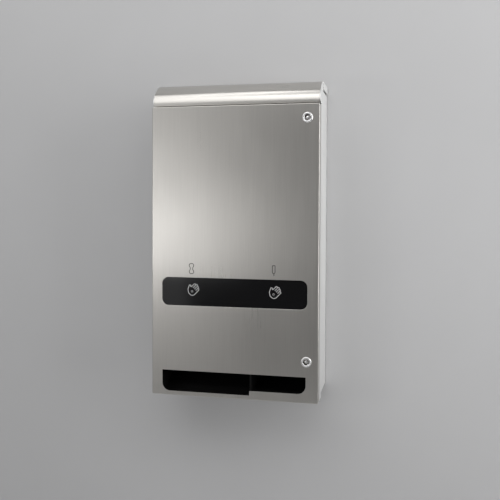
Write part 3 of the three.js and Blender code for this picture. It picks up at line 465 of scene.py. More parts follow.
def material(
    name, colour, roughness, fine=(700, 700, 700), cloud=(14, 14, 14), variation=0.1,
    rough_spread=0.06, bump=0.08, edge_wear_and_highlight=1.3, anisotropic=0.0, **sockets,
):
    """A finish whose edges are lighter, partly wear and partly a painted highlight, and whose colour,
    roughness and relief vary with fine grain and soft clouds.
    """
    made = bpy.data.materials.new(name)
    made.use_nodes = True
    tree = made.node_tree
    shader = tree.nodes["Principled BSDF"]
    for key, value in sockets.items():
        shader.inputs[key].default_value = value
    grain = grained(tree, fine)
    clouds = grained(tree, cloud, detail=2.0)
    half = variation / 2
    base = mixed(tree, spread(tree, grain, 0.0, 1.0), shaded(colour, 1 - half), shaded(colour, 1 + half))
    base = mixed(tree, spread(tree, clouds, 0.0, half), base, shaded(colour, CLOUD_SHADE_SHARE))
    # Edges get a lighter colour: partly wear, partly a painted highlight.
    if edge_wear_and_highlight != 1:
        base = mixed(tree, worn_and_highlit_edges(tree), base, shaded(colour, edge_wear_and_highlight))
    tree.links.new(base, shader.inputs["Base Color"])
    rough = add_node(tree, "ShaderNodeMath", {
        0: spread(tree, grain, -rough_spread / 2, rough_spread / 2),
        1: spread(tree, clouds, roughness - rough_spread / 2, roughness + rough_spread / 2),
    }, operation="ADD")
    tree.links.new(rough.outputs["Value"], shader.inputs["Roughness"])
    if bump:
        relief = add_node(tree, "ShaderNodeBump", {"Height": grain, "Strength": bump, "Distance": BUMP_DEPTH})
        tree.links.new(relief.outputs["Normal"], shader.inputs["Normal"])
    if anisotropic:
        shader.inputs["Anisotropic"].default_value = anisotropic
        normal = add_node(tree, "ShaderNodeNewGeometry").outputs["Normal"]
        crossed = {0: normal, 1: BRUSH_PLANE}
        across = add_node(tree, "ShaderNodeVectorMath", crossed, operation="CROSS_PRODUCT")
        tree.links.new(across.outputs["Vector"], shader.inputs["Tangent"])
    return made


STEEL = (0.60, 0.582, 0.553)
# The case sides' steel: a lighter copy of the door's steel, a rougher satin finish with its colour lightened
# as painted light.
SATIN_PAINTED_LIGHT = (0.84, 0.84, 0.83)


def brushed_steel(name, fine, colour=STEEL, roughness=0.30):
    return material(
        name, colour, roughness, fine=fine, cloud=(9, 9, 5), variation=0.07, rough_spread=0.04,
        bump=0.012, edge_wear_and_highlight=1.12, anisotropic=0.55, Metallic=1.0,
    )


UPRIGHT_GRAIN = (1100, 1100, 9)
ROLLED_GRAIN = (9, 1100, 1100)
finishes = {
    "brushed_stainless": brushed_steel("brushed_stainless_upright", UPRIGHT_GRAIN),
    "galvanised_steel": material(
        "galvanised_sheet", (0.55, 0.56, 0.57), 0.42, fine=(160, 160, 160), cloud=(40, 40, 40),
        variation=0.22, rough_spread=0.16, bump=0.04, Metallic=1.0,
    ),
    "lock_chrome": material(
        "polished_chrome", (0.86, 0.86, 0.86), 0.32, variation=0.04, rough_spread=0.05, bump=0.0,
        edge_wear_and_highlight=1.0, Metallic=1.0,
    ),
    "zinc_steel": material(
        "zinc_plate", (0.62, 0.63, 0.64), 0.34, fine=(900, 900, 900), variation=0.12, Metallic=1.0,
    ),
    "bronze": material(
        "sintered_bronze", (0.50, 0.30, 0.13), 0.42, fine=(2500, 2500, 2500), variation=0.25, Metallic=1.0,
    ),
    "black_window": material(
        "black_acrylic", (0.001, 0.001, 0.0015), 0.11, rough_spread=0.02, bump=0.0,
        edge_wear_and_highlight=1.0, IOR=1.49,
    ),
    # The black moulding's edges are lightened strongly, as wear and a painted highlight.
    "black_plastic": material(
        "black_moulding", (0.012, 0.012, 0.013), 0.45, fine=(1600, 1600, 1600), variation=0.2, bump=0.12,
        edge_wear_and_highlight=2.4,
    ),
    "white_plastic": material(
        "white_moulding", (0.72, 0.71, 0.68), 0.42, fine=(1400, 1400, 1400), variation=0.06, edge_wear_and_highlight=1.12,
    ),
    "grey_plastic": material(
        "grey_moulding", (0.17, 0.18, 0.19), 0.5, fine=(1400, 1400, 1400), variation=0.12, edge_wear_and_highlight=1.5,
    ),
    "board_green": material(
        "green_board", (0.012, 0.10, 0.045), 0.35, fine=(500, 500, 500), variation=0.3, edge_wear_and_highlight=1.6,
    ),
    "cell_sleeve": material("cell_sleeve", (0.035, 0.038, 0.045), 0.3, edge_wear_and_highlight=1.4),
    "button_red": material("red_moulding", (0.45, 0.018, 0.012), 0.38, fine=(1400, 1400, 1400)),
    "rolled_stainless": brushed_steel("brushed_stainless_rolled", ROLLED_GRAIN),
    # Rougher satin steel, its colour lightened as painted light on the sides.
    "satin_stainless_painted_light": brushed_steel("satin_stainless_painted_light", UPRIGHT_GRAIN, SATIN_PAINTED_LIGHT, 0.42),
    # Darker and less glossy than the black moulding: painted shade inside the mouth.
    "tray_painted_shade": material(
        "tray_painted_shade", (0.004, 0.004, 0.004), 0.75, fine=(1600, 1600, 1600), variation=0.2, bump=0.1,
        edge_wear_and_highlight=1.0, IOR=1.2,
    ),
    # A dark metal lining the lock's recess: painted shade.
    "recess_painted_shade": material(
        "recess_painted_shade", (0.03, 0.024, 0.024), 0.5, variation=0.3, bump=0.0, edge_wear_and_highlight=1.0, Metallic=1.0,
    ),
    "dark_lens": material(
        "dark_lens", (0.03, 0.004, 0.006), 0.06, rough_spread=0.02, bump=0.0, edge_wear_and_highlight=1.0,
    ),
    "dark_print": material("dark_print", (0.012, 0.011, 0.010), 0.6, variation=0.2, edge_wear_and_highlight=1.0),
    "white_print": material("white_print", (0.75, 0.75, 0.75), 0.5, variation=0.06, edge_wear_and_highlight=1.0),
}


# Pieces

def flatten(shown):
    """Keeps flat faces flat where soft shading would bend them towards the broken edges beside them."""
    weighted = shown.modifiers.new("flat_faces", "WEIGHTED_NORMAL")
    weighted.mode = "FACE_AREA"
    weighted.weight = 100
    weighted.keep_sharp = True


def piece(name, parts, *nodes):
    """A piece made of solids, each with its finish. It stands for the CAD nodes that are named."""
    bm = bmesh.new()
    used = []
    for solid, finish in parts:
        if finish not in used:
            used.append(finish)
        before = len(bm.faces)
        bm.from_mesh(solid)
        bpy.data.meshes.remove(solid)
        bm.faces.ensure_lookup_table()
        for face in bm.faces[before:]:
            face.material_index = used.index(finish)
            face.smooth = True
    mesh = bpy.data.meshes.new(name)
    bm.to_mesh(mesh)
    bm.free()
    mesh.set_sharp_from_angle(angle=SMOOTH_ANGLE)
    for finish in used:
        mesh.materials.append(finishes[finish])
    made = bpy.data.objects.new(name, mesh)
    bpy.context.scene.collection.objects.link(made)
    flatten(made)
    if nodes:
        first = frame["nodes"][nodes[0]]
        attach(made, first["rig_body"])
        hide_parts(*nodes)
    return made


# Hood and case

HOOD_SETBACK = 0.006
LOWER_ROLL = 0.034
UPPER_ROLL = 0.045
SLANT = 0.013
SLANT_ANGLE = math.radians(40)
HOOD_LIP = 0.010
LIP_BEND = 0.0013
HOOD_FLANGE = 0.016
HOOD_BOTTOM = HOOD_LOW.z
ROLL_FRONT = FRONT + HOOD_SETBACK
SLANT_TURN = math.pi / 2 + SLANT_ANGLE
LOWER_Y = ROLL_FRONT + LOWER_ROLL
SLANT_TOP_Y = LOWER_Y + LOWER_ROLL * math.cos(SLANT_TURN) + SLANT * math.cos(SLANT_ANGLE)
FLAT_FRONT = SLANT_TOP_Y - UPPER_ROLL * math.cos(SLANT_TURN)
UPPER_Z = TOP - UPPER_ROLL
SLANT_BOTTOM_Z = UPPER_Z + UPPER_ROLL * math.sin(SLANT_TURN) - SLANT * math.sin(SLANT_ANGLE)
LOWER_Z = SLANT_BOTTOM_Z - LOWER_ROLL * math.sin(SLANT_TURN)


def roll_line():
    """The hood's outer line in Y and Z, from the front of its flat top down to its bottom edge."""
    return [
        *arc(FLAT_FRONT, UPPER_Z, UPPER_ROLL, math.pi / 2, SLANT_TURN),
        *arc(LOWER_Y, LOWER_Z, LOWER_ROLL, SLANT_TURN, math.pi),
    ]


def make_hood():
    """The flat top and the roll in one sheet, and the flange turned down at each side of the flat top."""
    roll_half = INNER - GAP
    lip = rounded([
        (ROLL_FRONT, LOWER_Z, 0), (ROLL_FRONT, HOOD_BOTTOM, LIP_BEND),
        (ROLL_FRONT + HOOD_LIP, HOOD_BOTTOM, 0),
    ], closed=False)
    line = [Vector((0, TOP)), *roll_line(), *lip[1:]]
    parts = [(prism([thickened(line, SHEET)], "X", -roll_half, roll_half), "rolled_stainless")]
    place = span("hood")
    left = bent([(-roll_half, TOP, 0), (place.left, TOP, BEND), (place.left, TOP - HOOD_FLANGE, 0)])
    right = bent([(place.right, TOP - HOOD_FLANGE, 0), (place.right, TOP, BEND), (roll_half, TOP, 0)])
    for flange in (left, right):
        parts.append((prism([flange], "Y", FLAT_FRONT, 0), "satin_stainless_painted_light"))
    piece("hood_sheet", parts, "hood")


NOSE_DEPTH = 0.024
REAR_BOTTOM = up(0.010)
SIDE_EDGE = 0.0004
SEAM = 0.0032
SEAM_INSET = 0.006
RAIL_SCREW_X = 0.172
RAIL_HEIGHT = up(0.223)
RAIL_SCREW_HOLE = 0.0023
FRONT_FLANGE = 0.0118
FLANGE_END = 0.014


def make_case():
    """The two sides, the strip under the hood, and the front flanges that carry the sensor rail."""
    under_top = TOP - SHEET - GAP
    nose_rear = CASE_FRONT + NOSE_DEPTH
    cap_rear = FLAT_FRONT - GAP
    outline = [
        Vector((0, REAR_BOTTOM)), Vector((0, under_top)), Vector((cap_rear, under_top)),
        Vector((cap_rear, TOP)), *roll_line()[1:],
        Vector((CASE_FRONT, HOOD_BOTTOM)), Vector((CASE_FRONT, DOOR_LOW.z)),
        Vector((nose_rear, DOOR_LOW.z)), Vector((nose_rear, REAR_BOTTOM)),
    ]
    seam_top = TOP - HOOD_FLANGE
    seam = rectangle(FLAT_FRONT + SEAM_INSET, -SEAM_INSET, seam_top - SEAM, seam_top, SIDE_EDGE)
    sides = [prism([outline, seam], "X", low, low + SHEET, SIDE_EDGE) for low in (-HALF, INNER)]
    parts = [(side, "satin_stainless_painted_light") for side in sides]
    top = box(-INNER, INNER, FLAT_FRONT + GAP, 0, under_top - SHEET, under_top)
    parts.append((top, "brushed_stainless"))
    for side in (-1, 1):
        left, right = sorted((side * (INNER + SHEET / 2), side * (INNER - FRONT_FLANGE)))
        hole = circle(side * RAIL_SCREW_X, RAIL_HEIGHT, RAIL_SCREW_HOLE)
        sheet = prism(
            [rectangle(left, right, up(FLANGE_END), DOOR_HIGH.z - FLANGE_END), hole],
            "Y", CASE_FRONT, CASE_FRONT + SHEET,
        )
        parts.append((sheet, "satin_stainless_painted_light"))
    piece("case_sheet", parts, "case_shell")


# Door

WINDOW_LEFT = -0.1576
WINDOW_RIGHT = 0.1568
WINDOW_BOTTOM = up(0.1940)
WINDOW_TOP = up(0.2543)
WINDOW_CORNER = 0.0145
MOUTH_LEFT = -0.1576
MOUTH_RIGHT = 0.1550
MOUTH_TOP = up(0.0547)
MOUTH_LOW = up(0.0082)
MOUTH_HIGH = up(0.0180)
MOUTH_STEP = 0.0356
MOUTH_CORNER = 0.018
HOLE_CORNER = 0.0012


def window_outline():
    return rectangle(WINDOW_LEFT, WINDOW_RIGHT, WINDOW_BOTTOM, WINDOW_TOP, WINDOW_CORNER)


def mouth_outline():
    return rounded([
        (MOUTH_LEFT, MOUTH_TOP, HOLE_CORNER), (MOUTH_RIGHT, MOUTH_TOP, HOLE_CORNER),
        (MOUTH_RIGHT, MOUTH_HIGH, MOUTH_CORNER), (MOUTH_STEP, MOUTH_HIGH, HOLE_CORNER),
        (MOUTH_STEP, MOUTH_LOW, HOLE_CORNER), (MOUTH_LEFT, MOUTH_LOW, MOUTH_CORNER),
    ])


LOCKS = {"bottom": up(0.086), "top": up(0.589)}
LOCK_X = 0.155
BARREL = 0.0092
DOOR_CORNER = 0.0012


def pan_outline(grow=0):
    """The outline of the door's flat face, grown outwards."""
    return face_of(span("door_panel"), DOOR_BEND - grow, DOOR_CORNER + grow)


def pan_loop(bm, grow, back):
    return [bm.verts.new((x, FRONT + back, z)) for x, z in pan_outline(grow)]


def door_pan():
    """The door's sheet: a face with its holes, and returns bent back along its four sides."""
    lock_holes = [circle(LOCK_X, height, BARREL + GAP) for height in LOCKS.values()]
    face = mesh_of_curve(flat_curve([pan_outline(), *lock_holes]))
    face.transform(Matrix.Translation((0, FRONT, 0)) @ AXES["Y"])
    bm = bmesh.new()
    bm.from_mesh(face)
    bpy.data.meshes.remove(face)
    turns = [math.pi / 2 * step / ROLL_STEPS for step in range(ROLL_STEPS + 1)]
    loops = [pan_loop(bm, DOOR_BEND * math.sin(turn), DOOR_BEND * (1 - math.cos(turn))) for turn in turns]
    loops.append(pan_loop(bm, DOOR_BEND, DOOR_HIGH.y - FRONT))
    skin(bm, loops)
    pan = shown_once(
        mesh_from(bm),
        ("SOLIDIFY", {"thickness": SHEET, "offset": -1, "use_even_offset": True}),
        ("BEVEL", {"width": EDGE, "segments": 2, "angle_limit": HOLE_EDGE_ANGLE}),
    )
    back = FRONT + SHEET + OVERRUN
    return cut(pan, *[flared(line, FRONT, back, HOLE_ROLL) for line in (window_outline(), mouth_outline())])


STUD_INSET = 0.005
STUD = 0.002
STUD_PROUD = 0.0015
THREAD_PITCH = 0.0008
THREAD_DEPTH = 0.00025


def stud_places():
    """The four studs that hold the window, at the corners of its plate."""
    return corner_places(span("window_lens"), STUD_INSET, STUD_INSET)


def ridges(radius, start, turns):
    """The line of a thread's ridges from a place along its axis."""
    line = []
    for turn in range(turns):
        valley = start + turn * THREAD_PITCH
        line += [(radius - THREAD_DEPTH, valley), (radius, valley + THREAD_PITCH / 2)]
    return line


def make_stud(x, z):
    """A threaded stud from inside the door's sheet to a little past its nut."""
    low, high = FRONT + SHEET / 2, span("window_nut_1").back + STUD_PROUD
    valley = STUD - THREAD_DEPTH
    turns = int((high - low) / THREAD_PITCH)
    profile = [(0, low), (valley, low), *ridges(STUD, low, turns), (valley, high), (0, high)]
    return lathe(profile, "Y", (x, 0, z), SMALL_SIDES)


SIGN_LINE = 0.0014
PAD_SIGN = (-0.0918, up(0.2737))
PAD_END = 0.0052
PAD_REACH = 0.0108
PAD_END_CURVE = 0.0040
PAD_SHOULDER = 0.0050
PAD_SHOULDER_REACH = 0.0058
PAD_WAIST = 0.0027
PAD_WAIST_REACH = 0.0018
PAD_WAIST_CURVE = 0.0030

TAMPON_SIGN = (0.0862, up(0.2735))
TAMPON_HALF = 0.0029
TAMPON_TOP = 0.0103
TAMPON_SHOULDER = -0.0035
TAMPON_CURVE = 0.0010
TIP_HALF = 0.0010
TIP = -0.0064
TIP_CURVE = 0.0004
STRING_BOW = 0.0008
STRING_MIDDLE = -0.0084
STRING_END = -0.0108
STRING_CURVE = 0.0010


def pad_sign():
    """A pad seen from above: two round ends and a waist."""
    quarter = [
        (PAD_END, -PAD_REACH, PAD_END_CURVE), (PAD_SHOULDER, -PAD_SHOULDER_REACH, PAD_WAIST_CURVE),
        (PAD_WAIST, -PAD_WAIST_REACH, PAD_WAIST_CURVE),
    ]
    right = quarter + [(x, -y, radius) for x, y, radius in quarter[::-1]]
    left = [(-x, y, radius) for x, y, radius in right[::-1]]
    return stroke(turned(rounded(right + left), 0, *PAD_SIGN), SIGN_LINE)


def tampon_sign():
    """A tampon with its string hanging."""
    right = [
        (TIP_HALF, TIP, TIP_CURVE), (TAMPON_HALF, TAMPON_SHOULDER, TAMPON_CURVE),
        (TAMPON_HALF, TAMPON_TOP, TAMPON_CURVE),
    ]
    body = rounded([(-x, y, radius) for x, y, radius in right[::-1]] + right)
    line = [(0, TIP, 0), (STRING_BOW, STRING_MIDDLE, STRING_CURVE), (0, STRING_END, 0)]
    string = rounded(line, closed=False)
    return [
        stroke(turned(body, 0, *TAMPON_SIGN), SIGN_LINE),
        stroke(turned(string, 0, *TAMPON_SIGN), SIGN_LINE, closed=False),
    ]


def printed(loops, surface):
    """Ink on a face that looks to the front."""
    return prism(loops, "Y", surface - PRINT, surface, PRINT / 4)


def make_door():
    parts = [(door_pan(), "brushed_stainless")]
    for x, z in stud_places():
        parts.append((make_stud(x, z), "zinc_steel"))
    for loops in (pad_sign(), *tampon_sign()):
        parts.append((printed(loops, FRONT), "dark_print"))
    piece("door_sheet", parts, "door_panel")


# Window

HAND_TILT = math.radians(-44)
HAND_LINE = 0.0010
RING_LINE = 0.0005
HAND_PLACES = ((-0.0885, up(0.2275)), (0.0885, up(0.2265)))
FINGER_WIDTH = 0.0041
FINGER_TIPS = (0.0104, 0.0134, 0.0147, 0.0129)
FINGER_ROOT = 0.0036
LITTLE_RIGHT = 0.0087
PALM_CURVE = 0.0042
THUMB_LINE = (
    (-0.0077, -0.0011, 0.0011), (-0.0112, 0.0050, 0.0017), (-0.0137, 0.0022, 0.0017),
    (-0.0095, -0.0070, PALM_CURVE), (-0.0025, -0.0115, PALM_CURVE), (0.0056, -0.0106, PALM_CURVE),
)
PALM_CORNER = -0.0059
PALM_RING = 0.0018
PALM_RING_DROP = 0.0036
PLATE_CORNER = 0.003
RETAINER_LAP = 0.003
WINDOW_NUT_EDGE = 0.0004


def hand_lines():
    """An open hand as open lines: one round the thumb and the palm, and one over each finger."""
    radius = FINGER_WIDTH / 2
    tops = [
        (LITTLE_RIGHT - radius - index * FINGER_WIDTH, tip - radius) for index, tip in enumerate(FINGER_TIPS)
    ]
    little, index_finger = tops[0], tops[-1]
    palm = rounded([
        (index_finger[0] - radius, index_finger[1], 0), *THUMB_LINE,
        (LITTLE_RIGHT, PALM_CORNER, PALM_CURVE), (LITTLE_RIGHT, little[1], 0),
    ], closed=False)
    lines = [palm]
    height = little[1]
    for x, top in tops:
        start = [Vector((x + radius, height))] if top > height else []
        end = [] if (x, top) == index_finger else [Vector((x - radius, FINGER_ROOT))]
        lines.append(start + arc(x, top, radius, 0, math.pi) + end)
        height = top
    return lines


def make_window():
    """The dark plate with its printed hands, the frame that holds it, and that frame's nuts."""
    stud_holes = [circle(x, z, STUD + GAP) for x, z in stud_places()]
    lens = span("window_lens")
    plate = prism([face_of(lens, 0, PLATE_CORNER), *stud_holes], "Y", lens.front, lens.back)
    parts = [(plate, "black_window")]
    for x, z in HAND_PLACES:
        hand = [stroke(turned(line, HAND_TILT, x, z), HAND_LINE, False) for line in hand_lines()]
        ring = stroke(turned(circle(0, -PALM_RING_DROP, PALM_RING), HAND_TILT, x, z), RING_LINE)
        for loops in (*hand, ring):
            parts.append((printed(loops, lens.front), "white_print"))
    piece("window_plate", parts, "window_lens")

    retainer = span("window_retainer")
    opening = beside(window_outline(), RETAINER_LAP, True)
    loops = [face_of(retainer, 0, PLATE_CORNER), opening, *stud_holes]
    rim = prism(loops, "Y", retainer.front, retainer.back)
    piece("window_frame", [(rim, "galvanised_steel")], "window_retainer")

    for number in range(1, len(stud_holes) + 1):
        node = f"window_nut_{number}"
        make_hex_nut(node, f"window_hex_{number}", middle(node), STUD, WINDOW_NUT_EDGE)


def make_hex_nut(node, name, centre, bore, edge):
    nut = span(node)
    radius = (nut.right - nut.left) / 2
    turns = [math.tau * corner / 6 for corner in range(6)]
    hexagon = [Vector((math.cos(turn), math.sin(turn))) * radius for turn in turns]
    loops = [turned(hexagon, 0, centre.x, centre.z), circle(centre.x, centre.z, bore + GAP)]
    piece(name, [(prism(loops, "Y", nut.front, nut.back, edge), "zinc_steel")], node)


# Locks

LOCK_EDGE = 0.0008
HEAD_DEPTH = 0.0022
RECESS = 0.0064
# Thickness of the dark lining that paints the recess's shade
SHADE_LINER = 0.0002
RECESS_DEPTH = 0.0070
RIM_HEIGHT = 0.0018
RIM_STEPS = 16
CORE = 0.0059
LUG = 0.0013
LUG_DEPTH = 0.003
LUG_EDGE = 0.0006
LUG_ANGLE = math.radians(-55)


def make_lock_body(name, centre):
    """The housing with its round head and its thread, a dark liner that paints the shade in its recess, and
    the key's lug.
    """
    housing = span(f"{name}_lock_housing")
    front, rear = housing.front, housing.back
    head = (housing.right - housing.left) / 2
    head_rear = front + HEAD_DEPTH
    recess_rear = front + RECESS_DEPTH
    rim = (head - RECESS) / 2
    crown = [
        ((head + RECESS) / 2 + rim * math.sin(turn), front + RIM_HEIGHT * (1 - math.cos(turn)))
        for turn in [math.pi * step / RIM_STEPS - math.pi / 2 for step in range(RIM_STEPS + 1)]
    ]
    turns = int((rear - head_rear) / THREAD_PITCH) - 2
    bore = CORE + GAP
    body = [
        *crown, (head, head_rear - EDGE), (head - EDGE, head_rear), (BARREL, head_rear),
        *ridges(BARREL, head_rear + THREAD_PITCH, turns), (BARREL - THREAD_DEPTH, rear - EDGE),
        (BARREL - 2 * THREAD_DEPTH, rear), (bore, rear), (bore, recess_rear), (RECESS, recess_rear),
    ]
    # The dark lining paints the shade deep in the recess.
    shade_liner_front, shade_liner_rear = front + RIM_HEIGHT, recess_rear + EDGE
    shade_liner = [
        (RECESS - SHADE_LINER, shade_liner_front), (RECESS, shade_liner_front - EDGE), (RECESS + EDGE, shade_liner_front),
        (RECESS + EDGE, shade_liner_rear), (bore, shade_liner_rear), (bore, recess_rear - SHADE_LINER),
        (RECESS - SHADE_LINER, recess_rear - SHADE_LINER),
    ]
    lug = rod(LUG, "Y", front + EDGE, front + LUG_DEPTH, centre, LUG_EDGE, LUG_SIDES)
    reach = RECESS - SHADE_LINER
    moved(lug, reach * math.cos(LUG_ANGLE), 0, reach * math.sin(LUG_ANGLE))
    parts = [(lathe(body, "Y", centre), "lock_chrome"), (lathe(shade_liner, "Y", centre), "recess_painted_shade")]
    parts.append((lug, "lock_chrome"))
    piece(f"{name}_lock_body", parts, f"{name}_lock_housing")
    return recess_rear


POST = 0.0024
POST_SET_BACK = 0.0012
TAIL_HALF = 0.003
KEY_PINS = 7
KEY_PIN = 0.0007
KEY_PIN_PROUD = 0.0004
KEY_PIN_EDGE = 0.0002


def make_lock_plug(name, centre, recess_rear):
    """The turning core: its post for the key, the ring of pins round it and its square tail."""
    housing = span(f"{name}_lock_housing")
    plug = span(f"{name}_lock_plug")
    rear = housing.back
    post_front = housing.front + POST_SET_BACK
    core_front = recess_rear + 2 * GAP
    core = [
        (0, post_front), (POST - LOCK_EDGE, post_front), (POST, post_front + LOCK_EDGE / 2),
        (POST, core_front), (CORE, core_front), (CORE, rear), (0, rear),
    ]
    tail = box(
        centre.x - TAIL_HALF, centre.x + TAIL_HALF, rear - SHEET, plug.back,
        centre.z - TAIL_HALF, centre.z + TAIL_HALF,
    )
    parts = [(lathe(core, "Y", centre), "lock_chrome"), (tail, "zinc_steel")]
    ring = (POST + CORE) / 2
    low, high = recess_rear - KEY_PIN_PROUD, recess_rear + SHEET
    for index in range(KEY_PINS):
        angle = math.tau * index / KEY_PINS
        pin = rod(KEY_PIN, "Y", low, high, centre, KEY_PIN_EDGE, KEY_PIN_SIDES)
        parts.append((moved(pin, ring * math.cos(angle), 0, ring * math.sin(angle)), "bronze"))
    piece(f"{name}_lock_core_plug", parts, f"{name}_lock_plug")


LOCK_NUT_EDGE = 0.0006
CAM_CORNER = 0.002
CAM_EDGE = 0.0003
CAM_END_SHARE = 0.99
CAM_SCREW_SHANK = 0.0015
CAM_SCREW_HEAD = 0.002


def make_lock_cam(name, centre):
    """The cam, which sits on the core's square tail, and the screw that holds it."""
    cam = span(f"{name}_lock_cam")
    end = (cam.right - cam.left) / 2 * CAM_END_SHARE
    outline = rounded([
        (cam.left, cam.top, CAM_CORNER), (cam.left, cam.bottom, end),
        (cam.right, cam.bottom, end), (cam.right, cam.top, CAM_CORNER),
    ])
    hole = square(centre.x, centre.z, TAIL_HALF + GAP)
    bolt = prism([outline, hole], "Y", cam.front, cam.back, CAM_EDGE)
    piece(f"{name}_lock_bolt", [(bolt, "zinc_steel")], f"{name}_lock_cam")
    node = f"{name}_lock_screw"
    screw = pan_screw(centre.x, centre.z, span(node), CAM_SCREW_SHANK, CAM_SCREW_HEAD, forward=False)
    piece(f"{name}_lock_end_screw", [(screw, "zinc_steel")], node)


def make_lock(name, height):
    centre = Vector((LOCK_X, 0, height))
    recess_rear = make_lock_body(name, centre)
    make_lock_plug(name, centre, recess_rear)
    make_hex_nut(f"{name}_lock_nut", f"{name}_lock_hex", centre, BARREL, LOCK_NUT_EDGE)
    make_lock_cam(name, centre)


DOME_SHARES = ((0.55, 0.12), (0.9, 0.45), (1.0, 0.9))
SLOT_DEPTH_SHARE = 0.6
SLOT_REACH_SHARE = 0.5
SLOT_HALF_SHARE = 0.13


def pan_screw(x, z, place, shank, head_height, forward=True):
    """A screw along Y with a domed, crossed head. Forward is true where its head looks to the front."""
    head = (place.right - place.left) / 2
    end, start = (place.back, place.front) if forward else (place.front, place.back)
    sense = 1 if forward else -1
    height = sense * head_height
    dome = [(head * across, start + height * along) for across, along in DOME_SHARES]
    profile = [
        (0, start), *dome, (head - EDGE, start + height), (shank, start + height),
        (shank, end - sense * shank), (shank / 2, end), (0, end),
    ]
    near, far = sorted((start - height, start + height * SLOT_DEPTH_SHARE))
    reach, half = head * SLOT_REACH_SHARE, head * SLOT_HALF_SHARE
    slots = [
        box(x - across, x + across, near, far, z - along, z + along, EDGE / 4)
        for across, along in ((reach, half), (half, reach))
    ]
    return cut(lathe(profile, "Y", (x, 0, z), SCREW_SIDES), *slots)


# Hinge

KNUCKLE = 0.0024
PIN = 0.0012
LEAF = 0.001
LEAF_EDGE = 0.0003
KNUCKLES = 12
KNUCKLE_GAP = 0.0005
CURL = math.radians(290)


def make_hinge():
    """Two leaves whose curled knuckles take turns on one long pin."""
    pin = span("hinge_pin")
    centre = middle("hinge_pin")
    x, y = centre.x, centre.y
    pitch = (pin.top - pin.bottom) / KNUCKLES
    leaf_x = x + KNUCKLE - LEAF
    for name, side, first in (("hinge_leaf_case", 1, 0), ("hinge_leaf_door", -1, 1)):
        leaf = span(name)
        low, high = sorted((y + side * (KNUCKLE + KNUCKLE_GAP), leaf.back if side > 0 else leaf.front))
        strip = box(leaf_x, x + KNUCKLE, low, high, leaf.bottom, leaf.top, LEAF_EDGE)
        parts = [(strip, "galvanised_steel")]
        start = Vector((leaf_x, y + side * (KNUCKLE + 2 * KNUCKLE_GAP)))
        curl = thickened([start, *arc(x, y, KNUCKLE - LEAF, 0, -side * CURL)], side * LEAF)
        for knuckle in range(KNUCKLES // 2):
            bottom = pin.bottom + (first + 2 * knuckle) * pitch + KNUCKLE_GAP / 2
            curled = prism([curl], "Z", bottom, bottom + pitch - KNUCKLE_GAP, EDGE / 2)
            parts.append((curled, "galvanised_steel"))
        piece(f"{name}_strip", parts, name)
    bar = rod(PIN, "Z", pin.bottom, pin.top, centre, EDGE, SMALL_SIDES)
    piece("hinge_rod", [(bar, "zinc_steel")], "hinge_pin")


# Back and floor sheets

BACK_FLANGE = 0.012
WALL_HOLE_X = 0.165
WALL_HOLE_HIGH = up(0.590)
WALL_HOLE_LOW = up(0.090)
WALL_HOLE = 0.0035
KEYHOLE = 0.007
KEYHOLE_DROP = 0.014
STANDOFF = 0.003
BOARD_PIN = 0.0014
PIN_INSET = 0.005


def keyhole(x, z):
    """A slot that opens into a larger round hole below it."""
    spread_angle = math.asin(WALL_HOLE / KEYHOLE)
    top = arc(x, z, WALL_HOLE, 0, math.pi)
    low = arc(x, z - KEYHOLE_DROP, KEYHOLE, math.pi / 2 + spread_angle, math.pi / 2 - spread_angle + math.tau)
    return top + low


def through(outline, low, high, axis="Y"):
    """A tool that cuts an outline through a sheet between two planes."""
    return prism([outline], axis, low - OVERRUN, high + OVERRUN, 0)


def board_pins():
    return corner_places(span("control_board"), PIN_INSET, PIN_INSET)


def make_back():
    """The back sheet with its wall holes, and the standoffs that carry the board."""
    back = span("case_back")
    profile = bent([
        (back.right, -BACK_FLANGE, 0), (back.right, 0, BEND),
        (back.left, 0, BEND), (back.left, -BACK_FLANGE, 0),
    ])
    sheet = prism([profile], "Z", back.bottom, back.top)
    holes = []
    for x in (-WALL_HOLE_X, WALL_HOLE_X):
        holes.append(through(keyhole(x, WALL_HOLE_HIGH), -SHEET, 0))
        holes.append(through(circle(x, WALL_HOLE_LOW, WALL_HOLE), -SHEET, 0))
    parts = [(cut(sheet, *holes), "brushed_stainless")]
    seat = span("control_board").back + GAP
    standoff = chamfered([
        (0, -SHEET / 2, 0), (STANDOFF, -SHEET / 2, 0), (STANDOFF, seat, EDGE),
        (BOARD_PIN, seat, 0), (BOARD_PIN, back.front, EDGE), (0, back.front, 0),
    ])
    for x, z in board_pins():
        parts.append((lathe(standoff, "Y", (x, 0, z), SMALL_SIDES), "zinc_steel"))
    piece("back_sheet", parts, "case_back")


def make_floor():
    place = span("case_floor")
    nose_rear = CASE_FRONT + NOSE_DEPTH
    line = [
        (place.front, place.bottom, 0), (nose_rear, place.bottom, BEND), (nose_rear, REAR_BOTTOM, BEND),
        (place.back, REAR_BOTTOM, BEND), (place.back, place.top, 0),
    ]
    sheet = prism([bent(line)], "X", place.left, place.right)
    piece("floor_sheet", [(sheet, "brushed_stainless")], "case_floor")


# Product columns

LIP = 0.014
FOOT = 0.012
INNER_FLANGE = 0.008
PAD_WALL_FRONT = -0.0178
TAMPON_ROOM = 0.023
RIVET = 0.0022
RIVET_HEIGHT = 0.0006
RIVET_SHARES = (0.08, 0.36, 0.64, 0.92)
RIVET_DOME_SHARE = 0.6
RIVET_EDGE_SHARE = 0.15


def rivet(axis, at, outward, x=0, y=0, z=0):
    """A flat-domed rivet head on a face, raised outward along an axis."""
    rise = outward * RIVET_HEIGHT
    sunk = at - outward * SHEET / 2
    profile = [
        (0, at + rise), (RIVET * RIVET_DOME_SHARE, at + rise - rise * RIVET_EDGE_SHARE),
        (RIVET, at), (RIVET, sunk), (0, sunk),
    ]
    return lathe(profile, axis, (x, y, z), SMALL_SIDES)


